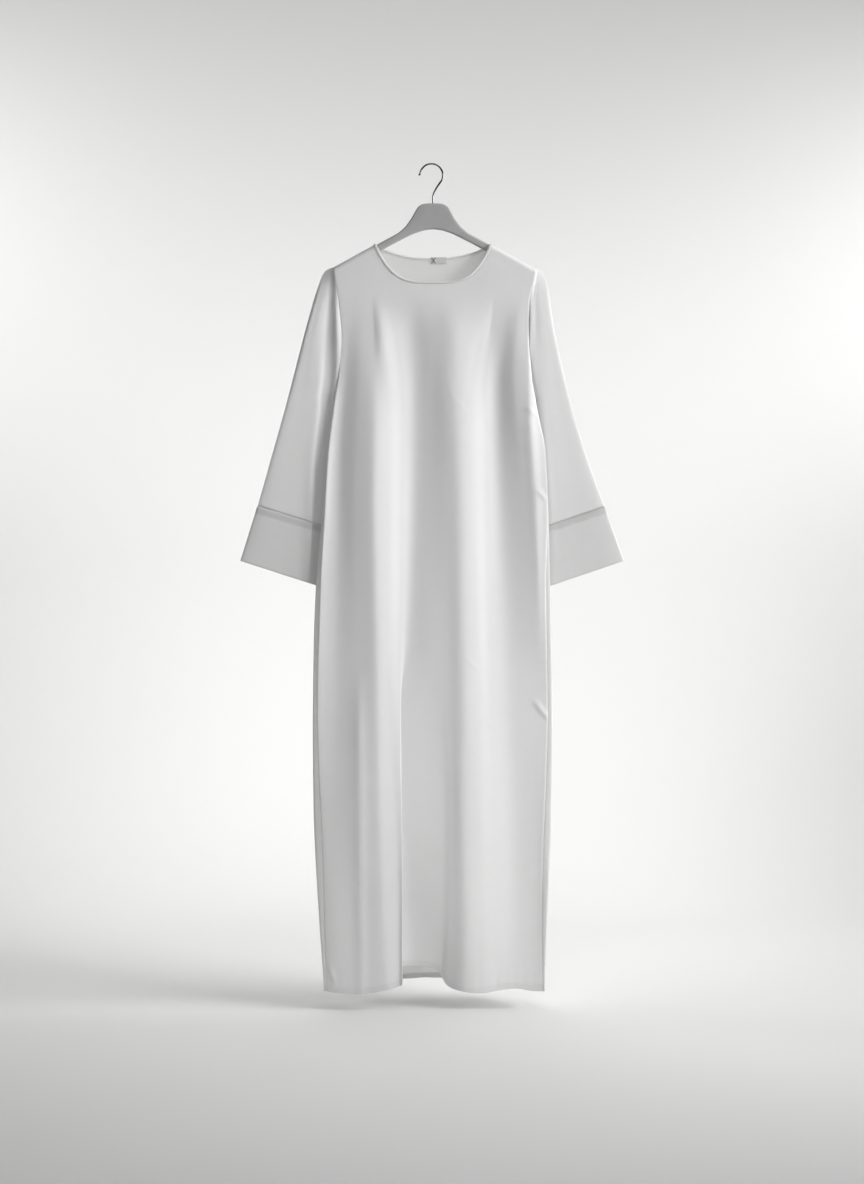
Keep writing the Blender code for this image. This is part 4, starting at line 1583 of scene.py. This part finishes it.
    def build_arm(self, finish: Material) -> Object:
        """Makes the sleeve down to its cuff: puckers by the armhole, a dip at each seam.

        Args:
            finish: Its material.

        Returns:
            The piece.
        """
        front_seam = self.seams()[0]
        lower = np.linspace(CUT.underarm_down, self.wrist_down, self.arm_cells + 1)[1:]
        points = self.rings(np.concatenate([-front_seam[:, 2], lower]), True)
        wide, from_edge, up = lengths(points, 1), to_sides(points), to_bottom(points)
        opened = 1 - smooth_step(-points[:, :1, 2] - CUT.underarm_down, -50.0, 30.0)
        down = np.broadcast_to(-points[:, :1, 2], wide.shape)
        pucker = ripple(down, 12.0, 5.1) * np.exp(-from_edge / 8.0) * opened
        height = (
            SEWN.pucker * pucker * smooth_step(from_edge, 0.0, SEWN.pucker_start)
            + SEWN.dip * opened * (1 - bell(from_edge, SEWN.dip_width))
            - SEWN.dip * bell(up, SEWN.dip_width)
            + self.fading_wave(self.arm_wave, wide, up) * smooth_step(up, 0.0, 4.0)
        ) * smooth_step(lengths(points, 0), 0.0, 6.0)
        points = points + self.outward(points) * height[..., None]
        # The material paints the allowance greyer by this count: painted shade.
        layers = 1.0 + SEWN.allowance(from_edge) * opened
        grid = Grid(points, layers, close_from=len(front_seam) - 1)
        return self.sheet("arm_cloth", grid, finish)

    def sheet(self, name: str, grid: Grid, finish: Material) -> Object:
        """A piece of this sleeve, named for its side."""
        name = f"{name}_{self.side.name.lower()}"
        return sheet_object(name, grid, self.side is Side.LEFT, finish, self.wall)

    def cuff_points(self) -> Array:
        """The cuff's outer face: it stands a little proud of the sleeve, and its edge rounds
        in where the doubled cloth is turned.

        Returns:
            The points, rings by columns by three.
        """
        down = np.linspace(self.wrist_down, self.edge_down, self.cuff_cells + 1)
        points = self.rings(down, False)
        wide, deep, up = lengths(points, 1), lengths(points, 0), to_bottom(points)
        height = (
            self.cuff_proud * smooth_step(deep, 0.0, 2.2)
            - SEWN.dip * bell(deep, 1.2)
            + self.fading_wave(self.cuff_wave, wide, deep) * smooth_step(deep, 0.0, 3.0)
            + self.fading_wave(self.edge_wave, wide, up)
            - self.groove * bell(deep - self.groove_down, 1.6)
        )
        return points + self.outward(points) * height[..., None]

    def build_cuff(self, finish: Material) -> Object:
        """Makes the doubled cuff: two layers, and four in the seam's uneven allowance, which the
        material paints greyer as painted shade.

        Args:
            finish: Its material.

        Returns:
            The piece.
        """
        points = self.cuff_points()
        wide, deep, up = lengths(points, 1), lengths(points, 0), to_bottom(points)
        edge = self.cuff_allowance + self.round_wave(self.allowance_wave, wide)
        allowance = 1 - smooth_step(deep - edge, -1.0, 1.0)
        turned = 1 - smooth_step(up, 0.8, 2.2)
        # Painted shade: these counts grey the cuff in the material, darkest in the allowance band.
        layers = 1.5 + 1.0 * allowance + 0.4 * turned
        folded = turned_in(points, self.outward(points), len(points), self.cuff_gap)
        inside = np.repeat(layers[-1:], 3, axis=0)
        grid = Grid(folded, np.concatenate([layers, inside, layers[::-1]]), close_from=0)
        return self.sheet("cuff_cloth", grid, finish)


@dataclass
class NeckBinding:
    """The narrow binding round the neck: a flattened tube of cloth over the raw edge."""

    name: str = "binding_cloth"
    around: int = 16
    proud: float = 1.5
    sunk: float = 1.3
    uneven: float = 0.06

    def line(self, widened: float) -> Array:
        """Points round the neck, this far outside the neckline: the front, then the back.

        Args:
            widened: How far outside the neckline to go.

        Returns:
            The closed line's points.
        """
        shares = CUT.neck_shares()
        turns = ((FRONT_NECK, -1, shares), (BACK_NECK, 1, shares[::-1]))
        halves = []
        for neckline, side, order in turns:
            x = (CUT.neck_half + widened) * order
            down = CUT.neck(neckline, order, widened)
            y = CUT.rounded(np.full_like(x, side * CUT.shoulder_depth), x, down)
            halves.append(np.column_stack([x, y, -down])[:-1])
        return np.concatenate(halves)

    def frames(self) -> tuple:
        """The binding's middle line, its half width as a vector, and its face's normal.

        Returns:
            Three arrays with one row for each point of the line.
        """
        inner, outer = self.line(0.0), self.line(CUT.binding_width)
        wide, middle = 0.5 * (outer - inner), 0.5 * (inner + outer)
        ahead = np.roll(middle, -1, axis=0) - np.roll(middle, 1, axis=0)
        return middle, wide, unit(-np.cross(ahead, wide))

    def build(self, finish: Material) -> Object:
        """An oval carried round the neck: the turn's cosine goes across the binding, and its
        sine through it, higher outwards than inwards.

        Args:
            finish: Its material.

        Returns:
            The piece.
        """
        middle, wide, face = self.frames()
        place = np.cumsum(np.linalg.norm(np.roll(middle, -1, axis=0) - middle, axis=1))
        plump = (1 + self.uneven * ripple(place, 23.0, 0.9))[:, None, None]
        turn = np.linspace(0, 2 * math.pi, self.around + 1)
        through = np.sin(turn) * np.where(turn < math.pi, self.proud, self.sunk)
        rings = (
            middle[:, None]
            + np.cos(turn)[None, :, None] * wide[:, None] * plump
            + through[None, :, None] * plump * face[:, None]
        )
        rings = np.concatenate([rings, rings[:1]])
        # A layer count of 1.1 greys the binding a little in the material: painted shade.
        grid = Grid(rings, np.full(rings.shape[:2], 1.1), close_from=0, close_rows=True)
        return dressed(grid_object(self.name, grid, False), finish)


@dataclass
class StitchRows:
    """Rows of machine stitches, each a short thread that dips into the cloth at its ends."""

    name: str
    pitch: float = 3.1
    length: float = 2.5
    thread: float = 0.5
    sides: int = 6

    def row(self, line: Array, outward: Array) -> Array:
        """One row's points: stitches by rings by sides. Each stitch's middle line rises by
        1 - t^2 over its length, and its radius falls off towards its ends.

        Args:
            line: The points that the row follows.
            outward: The cloth's normals there.

        Returns:
            The points, in millimetres.
        """
        count = int(lengths(line, 0)[-1] / self.pitch)
        share = np.array([-1.0, -0.75, 0.0, 0.75, 1.0])
        middle = (np.arange(count) + 0.5) * self.pitch
        place = middle[:, None] + share * self.length / 2
        centre, normal = read_along(line, line, place), read_along(line, outward, place)
        aside = unit(np.cross((centre[:, -1] - centre[:, 0])[:, None], normal))
        radius = self.thread / 2 * np.array([0.3, 0.8, 1.0, 0.8, 0.3])
        lift = self.thread * (0.55 * (1 - share**2) - 0.2)
        turn = np.linspace(0, 2 * math.pi, self.sides, endpoint=False)
        across_way = (np.cos(turn)[None, :] * radius[:, None])[None, :, :, None]
        out_way = (np.sin(turn)[None, :] * radius[:, None] + lift[:, None])[None, :, :, None]
        return centre[:, :, None] + across_way * aside[:, :, None] + out_way * normal[:, :, None]

    def build(self, rows: list, finish: Material) -> Object:
        """Makes every stitch of the rows one mesh, each closed at its ends."""
        points = np.concatenate([self.row(line, outward) for line, outward in rows])
        return dressed(tubes_object(self.name, points), finish)


@dataclass
class NeckLabel:
    """A blank woven label inside the back of the neck, held by a cross of grey thread."""

    left: float = -4.0
    top: float = 174.5
    width: float = 30.0
    height: float = 13.0
    thick: float = 0.6
    y: float = 7.0
    curl: float = 0.5
    cells: tuple = (60, 26)
    cross: tuple = ((-3.2, 0.4), (5.2, 12.4))
    threads: tuple = (-0.5, 0.0, 0.5)
    proud: float = 0.25

    def build_tape(self, finish: Material) -> Object:
        """The tape: a flat grid whose free end curls by a square law and ripples a little.

        Args:
            finish: Its material.

        Returns:
            The piece.
        """
        x, down = np.meshgrid(*(np.linspace(0, 1, count + 1) for count in self.cells))
        curl = self.curl * x**2 * down + 0.10 * np.sin(9 * x + 2 * down)
        points = np.stack(
            [self.left + self.width * x, self.y - curl, -self.top - self.height * down], axis=-1
        )
        grid = Grid(points, np.ones_like(x))
        return sheet_object("label_cloth", grid, False, finish, self.thick)

    def build_cross(self, finish: Material) -> Object:
        """Two bars of three threads each, one over the other.

        Args:
            finish: Its material.

        Returns:
            The piece.
        """
        (x0, down0), (x1, down1) = self.cross
        y = self.y - self.proud
        rows = []
        for ends in (((x0, down0), (x1, down1)), ((x1, down0), (x0, down1))):
            for step in self.threads:
                (ax, ad), (bx, bd) = ends
                line = np.array(
                    [(ax + step, y, -self.top - ad), (bx + step, y, -self.top - bd)]
                )
                rows.append((line, np.array([(0.0, -1.0, 0.0)] * 2)))
        long = math.hypot(x1 - x0, down1 - down0) - 0.4
        return StitchRows("label_tack", pitch=long, length=long, thread=0.55).build(rows, finish)


@dataclass
class Hanger:
    """The flat hanger: a block in the middle, two sloping arms, and a round wire hook."""

    depth: float = 8.0
    edge: float = 3.6
    sink: float = 1.9
    half: float = 183.0
    arm_start: float = 101.6
    arm_height: float = 14.5
    block: tuple = (
        (0.0, 73.3),
        (14.0, 73.8),
        (22.0, 75.6),
        (28.5, 80.0),
        (33.0, 87.0),
        (41.6, 103.0),
        (53.0, 118.5),
        (66.0, 129.8),
        (82.0, 138.6),
    )
    arch: tuple = ((0.0, 122.7), (18.0, 124.9), (36.0, 131.0), (52.0, 138.8), (72.0, 149.0))
    edge_steps: int = 7
    outline_step: float = 1.6
    softened: int = 3
    wire: float = 3.4
    wire_sides: int = 20
    thinnest: float = 0.02
    hook_radius: float = 20.0
    hook_turns: tuple = (-38.0, 166.0)
    stem: tuple = (62.0, 92.0)
    stem_pull: float = 26.0
    flare: tuple = ((-22.0, 18.6), (-24.6, 20.2))

    def outline(self) -> Array:
        """The block, the right arm with its half-round tip, the arch, and the same mirrored:
        even steps along it, with its corners softened by an average of near points.

        Returns:
            The closed outline's points, x and down.
        """
        lean = math.atan(CUT.shoulder_slope)
        sink = self.sink / math.cos(lean)
        tip = self.arm_height * math.cos(lean) / 2
        tip_x = self.half - tip
        tip_top = float(CUT.shoulder(tip_x)) + sink
        middle = (tip_x - tip * math.sin(lean), tip_top + tip * math.cos(lean))
        turns = np.linspace(math.pi / 2 - lean, -math.pi / 2 - lean, 14)
        end = np.column_stack([middle[0] + tip * np.cos(turns), middle[1] - tip * np.sin(turns)])
        start = (self.arm_start, float(CUT.shoulder(self.arm_start)) + sink)
        right = np.concatenate([self.block, [start], end, self.arch[::-1]])
        left = right[::-1][1:-1] * (-1.0, 1.0)
        corners = np.concatenate([right, left, right[:1]])
        long = lengths(corners, 0)[-1]
        place = np.linspace(0, long, int(long / self.outline_step))[:-1]
        line = read_along(corners, corners, place)
        for _ in range(self.softened):
            line = 0.25 * np.roll(line, 1, axis=0) + 0.5 * line + 0.25 * np.roll(line, -1, axis=0)
        return line

    def build_body(self, finish: Material) -> Object:
        """The outline carried round a half circle from the front face to the back one: it
        draws in by edge times 1 - cosine, and its y goes by edge times the sine.

        Args:
            finish: Its material.

        Returns:
            The piece.
        """
        line = self.outline()
        ahead = unit(np.roll(line, -1, axis=0) - np.roll(line, 1, axis=0))
        inward = np.column_stack([-ahead[:, 1], ahead[:, 0]])
        turn = np.linspace(-math.pi / 2, math.pi / 2, 2 * self.edge_steps)
        drawn = self.edge * (1 - np.cos(turn))
        flat = np.sign(turn) * (self.depth / 2 - self.edge)
        y = flat + self.edge * np.sin(turn)
        plan = line[None] + drawn[:, None, None] * inward[None]
        depth = np.broadcast_to(y[:, None], plan.shape[:2])
        rings = np.stack([plan[..., 0], depth, -plan[..., 1]], axis=-1)
        return dressed(tubes_object("hanger_plastic", rings), finish)

    def hook_line(self) -> Array:
        """The wire's middle line: up out of the block, over, round a circle, and a flared tip.

        Returns:
            Its points, x and down.
        """
        turns = np.radians(np.linspace(*self.hook_turns, 90))
        radius = self.hook_radius + self.wire / 2
        arc = np.column_stack(
            [radius * np.cos(turns) - CENTRE_X, self.hook_radius - radius * np.sin(turns)]
        )
        top, bottom = self.stem
        ahead = self.stem_pull * np.array([-math.sin(turns[0]), -math.cos(turns[0])])
        upward = np.array([0.0, -self.stem_pull])
        t = np.linspace(0, 1, 25)[:-1, None]
        bend = hermite(t, np.array([0.0, top]), upward, arc[0], ahead)
        flare = np.array(self.flare) - (CENTRE_X, 0.0)
        return np.concatenate([[[0.0, bottom]], bend, arc, flare])

    def build_hook(self, finish: Material) -> Object:
        """A circle carried along the wire's line, in its plane and out of it, which closes
        over each end as a half sphere.

        Args:
            finish: Its material.

        Returns:
            The piece.
        """
        line = self.hook_line()
        long = lengths(line, 0)[-1]
        radius = self.wire / 2
        cap = radius * (1 - np.cos(np.linspace(0, math.pi / 2, 6)))
        between_caps = np.linspace(radius, long - radius, 150)
        place = np.concatenate([cap[:-1], between_caps, long - cap[-2::-1]])
        plan = read_along(line, line, place)
        ahead = unit(np.gradient(plan, axis=0))
        from_end = np.minimum(np.minimum(place, long - place), radius)
        wide = np.sqrt(np.maximum(radius**2 - (radius - from_end) ** 2, self.thinnest**2))
        turn = np.linspace(0, 2 * math.pi, self.wire_sides, endpoint=False)
        aside = np.cos(turn)[None, :] * wide[:, None]
        out = np.sin(turn)[None, :] * wide[:, None]
        x = plan[:, :1] - aside * ahead[:, 1:]
        down = plan[:, 1:] + aside * ahead[:, :1]
        rings = np.stack([x, out, -down], axis=-1)
        return dressed(tubes_object("hook_wire", rings), finish)


# The studio


@dataclass
class Studio:
    """A pale sweep, soft lights, the brightest of them at the right, and the camera."""

    camera_at: tuple = (0.0011, -3.5, -0.812)
    lens: float = 56.0
    floor: float = -1.60
    wall: float = 1.7
    cove: float = 0.9
    half_width: float = 5.0
    top: float = 3.2
    front: float = -4.2
    cells: int = 24
    cove_cells: int = 32
    wide_cells: int = 40
    sensor: float = 36.0
    clip_end: float = 50.0

    def build_sweep(self, finish: Material) -> Object:
        """The floor runs back, turns up through a quarter circle, and goes up as the wall.

        Args:
            finish: Its material.

        Returns:
            The sweep.
        """
        turn = np.linspace(0, math.pi / 2, self.cove_cells + 1)
        foot, start = self.floor + self.cove, self.wall - self.cove
        floor_y = np.linspace(self.front, start, self.cells + 1)[:-1]
        wall_z = np.linspace(foot, self.top, self.cells + 1)[1:]
        y = np.concatenate(
            [floor_y, start + self.cove * np.sin(turn), np.full_like(wall_z, self.wall)]
        )
        z = np.concatenate(
            [np.full_like(floor_y, self.floor), self.floor + self.cove * (1 - np.cos(turn)), wall_z]
        )
        x = np.linspace(-self.half_width, self.half_width, self.wide_cells + 1)
        rows = np.stack(np.broadcast_arrays(x, y[:, None], z[:, None]), axis=-1)
        points = rows / MM - (CENTRE_X, 0.0, 0.0)
        sweep = grid_object("studio_sweep", Grid(points, np.ones(points.shape[:2])), True)
        return dressed(sweep, finish)

    def add_light(self, spec: "Light") -> None:
        """Adds one soft light that faces its target.

        Args:
            spec: What it is.
        """
        data = bpy.data.lights.new(spec.name, "AREA")
        data.shape = "RECTANGLE"
        data.size, data.size_y = spec.size
        data.energy = spec.watts
        data.spread = math.radians(spec.spread)
        light = bpy.data.objects.new(spec.name, data)
        light.location = spec.at
        light.visible_camera = False
        aim = Vector(spec.target) - Vector(spec.at)
        light.rotation_euler = aim.to_track_quat("-Z", "Y").to_euler()
        bpy.context.scene.collection.objects.link(light)

    def build(self, finish: Material) -> None:
        """Sets the sweep, the lights, the pale surroundings and the camera.

        Args:
            finish: The paper's material.
        """
        self.build_sweep(finish)
        for spec in LIGHTS:
            self.add_light(spec)
        world = bpy.data.worlds.new("studio")
        world.use_nodes = True
        world.node_tree.nodes["Background"].inputs["Color"].default_value = SURROUNDINGS
        world.cycles_visibility.diffuse = False
        world.cycles_visibility.glossy = False
        world.cycles_visibility.transmission = False
        bpy.context.scene.world = world
        data = bpy.data.cameras.new("camera")
        data.lens = self.lens
        data.sensor_width = self.sensor
        data.clip_end = self.clip_end
        camera = bpy.data.objects.new("camera", data)
        camera.location = self.camera_at
        camera.rotation_euler = (math.pi / 2, 0.0, 0.0)
        bpy.context.scene.collection.objects.link(camera)
        bpy.context.scene.camera = camera
        bpy.context.scene.view_settings.view_transform = "Standard"
        bpy.context.scene.view_settings.look = "None"


class Light(NamedTuple):
    """One soft light: where it is, what it faces, its size in metres and its power."""

    name: str
    at: tuple
    target: tuple
    size: tuple
    watts: float
    spread: float = 180.0


SURROUNDINGS = (0.84, 0.84, 0.835, 1.0)
LIGHTS = (
    Light("key", (2.8, -1.0, 0.0), (0.0, 0.0, -0.75), (2.0, 2.0), 30.0, 80.0),
    Light("rear", (1.5, 1.0, -0.5), (0.0, 0.0, -0.75), (1.0, 1.8), 3.0, 80.0),
    Light("overhead", (0.6, -1.6, 1.8), (0.0, 0.0, -0.8), (1.6, 1.0), 18.5),
    Light("fill", (-0.3, -3.3, -0.6), (0.0, 0.0, -0.8), (1.2, 1.6), 1.6, 50.0),
    Light("fill_left", (-2.6, -0.6, -0.4), (0.0, 0.0, -0.8), (1.2, 1.8), 0.8, 80.0),
    Light("wall_top", (0.0, 0.5, 1.9), (0.0, 1.6, -0.4), (2.4, 0.6), 5.5),
    Light("wall_left", (-2.2, 0.7, 0.4), (-0.7, 1.7, -0.1), (0.8, 0.8), 8.9, 120.0),
    Light("wall_right", (2.2, 0.7, 0.2), (0.7, 1.7, -0.1), (0.8, 0.8), 10.6, 120.0),
    Light("behind", (0.0, 0.75, -0.6), (0.0, 1.7, -0.5), (1.2, 1.2), 2.1),
    Light("floor_rear", (-0.6, 1.0, 0.7), (-0.6, 0.7, -1.6), (2.4, 0.5), 2.6, 90.0),
)


# The whole


class Declared(NamedTuple):
    """The size of a cloth piece's cut: how wide and long it was cut, and its cut's area."""

    across: float
    length: float
    area: float


def cut_size(piece: Object) -> Declared:
    """Reads a sheet's flat size off its own weave coordinates, with its seam allowances.

    Args:
        piece: The sheet.

    Returns:
        What it was cut to.
    """
    mesh = piece.data
    flat = np.empty(len(mesh.loops) * 2)
    mesh.uv_layers["cloth"].data.foreach_get("uv", flat)
    wide, deep = flat.reshape(-1, 2).max(axis=0) + (SEAMS_ACROSS, 0.0)
    area = np.empty(len(mesh.polygons))
    mesh.polygons.foreach_get("area", area)
    cut_area = float(min(area.sum() * SEAMS_SHARE, wide * deep))
    return Declared(float(wide), float(deep), cut_area)


def place(piece: Object, node: Union[str, None], slot: str) -> None:
    """Sets a piece on the body, in place of its CAD node, and reports it.

    Args:
        piece: The piece.
        node: The CAD node that it takes the place of, or None for what is sewn to another.
        slot: Not used.
    """
    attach(piece, BODY)
    if node is not None:
        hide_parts(node)
    LOG.info("%s: %d faces", piece.name, len(piece.data.polygons))


def place_cloth(piece: Object, node: str, slot: str) -> None:
    """The same for a sheet of cloth, with the size that it was cut to.

    Args:
        piece: The sheet.
        node: The CAD node that it takes the place of.
        slot: Not used.
    """
    place(piece, node, slot)
    cut = cut_size(piece)
    LOG.info("%s: cut %.3f by %.3f m, %.3f m2", piece.name, *cut)


def main() -> None:
    """Builds the garment, the hanger and the studio."""
    logging.basicConfig(level=logging.INFO, format="%(message)s")
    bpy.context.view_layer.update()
    crepe = CrepeFinish("white_crepe").material()
    back_crepe = CrepeFinish("white_crepe_back", sheer=0.55).material()
    sleeve_crepe = CrepeFinish("white_crepe_sleeves", sheer=0.25).material()
    front_crepe = CrepeFinish("white_crepe_front", sheer=0.12).material()
    doubled = CrepeFinish("white_crepe_cuffs", sheer=0.22).material()
    thread = ThreadFinish("sewing_thread").material()
    grey_thread = ThreadFinish(
        "tack_thread", colour=(0.16, 0.16, 0.16), shade_colour=(0.08, 0.08, 0.08)
    ).material()
    tape = TapeFinish("label_tape").material()
    front = Panel(
        "front_cloth", Face.FRONT, FRONT_FOLDS, BACK_FOLDS, FRONT_NECK, FRONT_RIDGES, FRONT_CREASES
    )
    back = Panel(
        "back_cloth", Face.BACK, BACK_FOLDS, FRONT_FOLDS, BACK_NECK, BACK_RIDGES, BACK_CREASES
    )
    binding = NeckBinding()
    hems = StitchRows("hem_stitches").build([front.hem_line(), back.hem_line()], thread)
    place(hems, None, "crepe")
    place_cloth(front.build(front_crepe), "front_panel", "crepe")
    place_cloth(back.build(back_crepe), "back_panel", "crepe")
    for side, folds in ((Side.LEFT, LEFT_SLEEVE), (Side.RIGHT, RIGHT_SLEEVE)):
        sleeve = Sleeve(side, folds, front, back)
        where = side.name.lower()
        place_cloth(sleeve.build_arm(sleeve_crepe), f"sleeve_{where}", "crepe")
        place_cloth(sleeve.build_cuff(doubled), f"cuff_{where}", "doubled_crepe")
    place(binding.build(crepe), "neck_binding", "crepe")
    label = NeckLabel()
    place(label.build_tape(tape), "neck_label", "label_tape")
    place(label.build_cross(grey_thread), None, "label_tape")
    hanger = Hanger()
    place(hanger.build_body(MouldedFinish("hanger_grey").material()), "hanger_body", "hanger_grey")
    place(hanger.build_hook(WireFinish("hook_steel").material()), "hanger_hook", "hook_steel")
    Studio().build(PaperFinish("studio_paper").material())


if __name__ == "__main__":
    main()
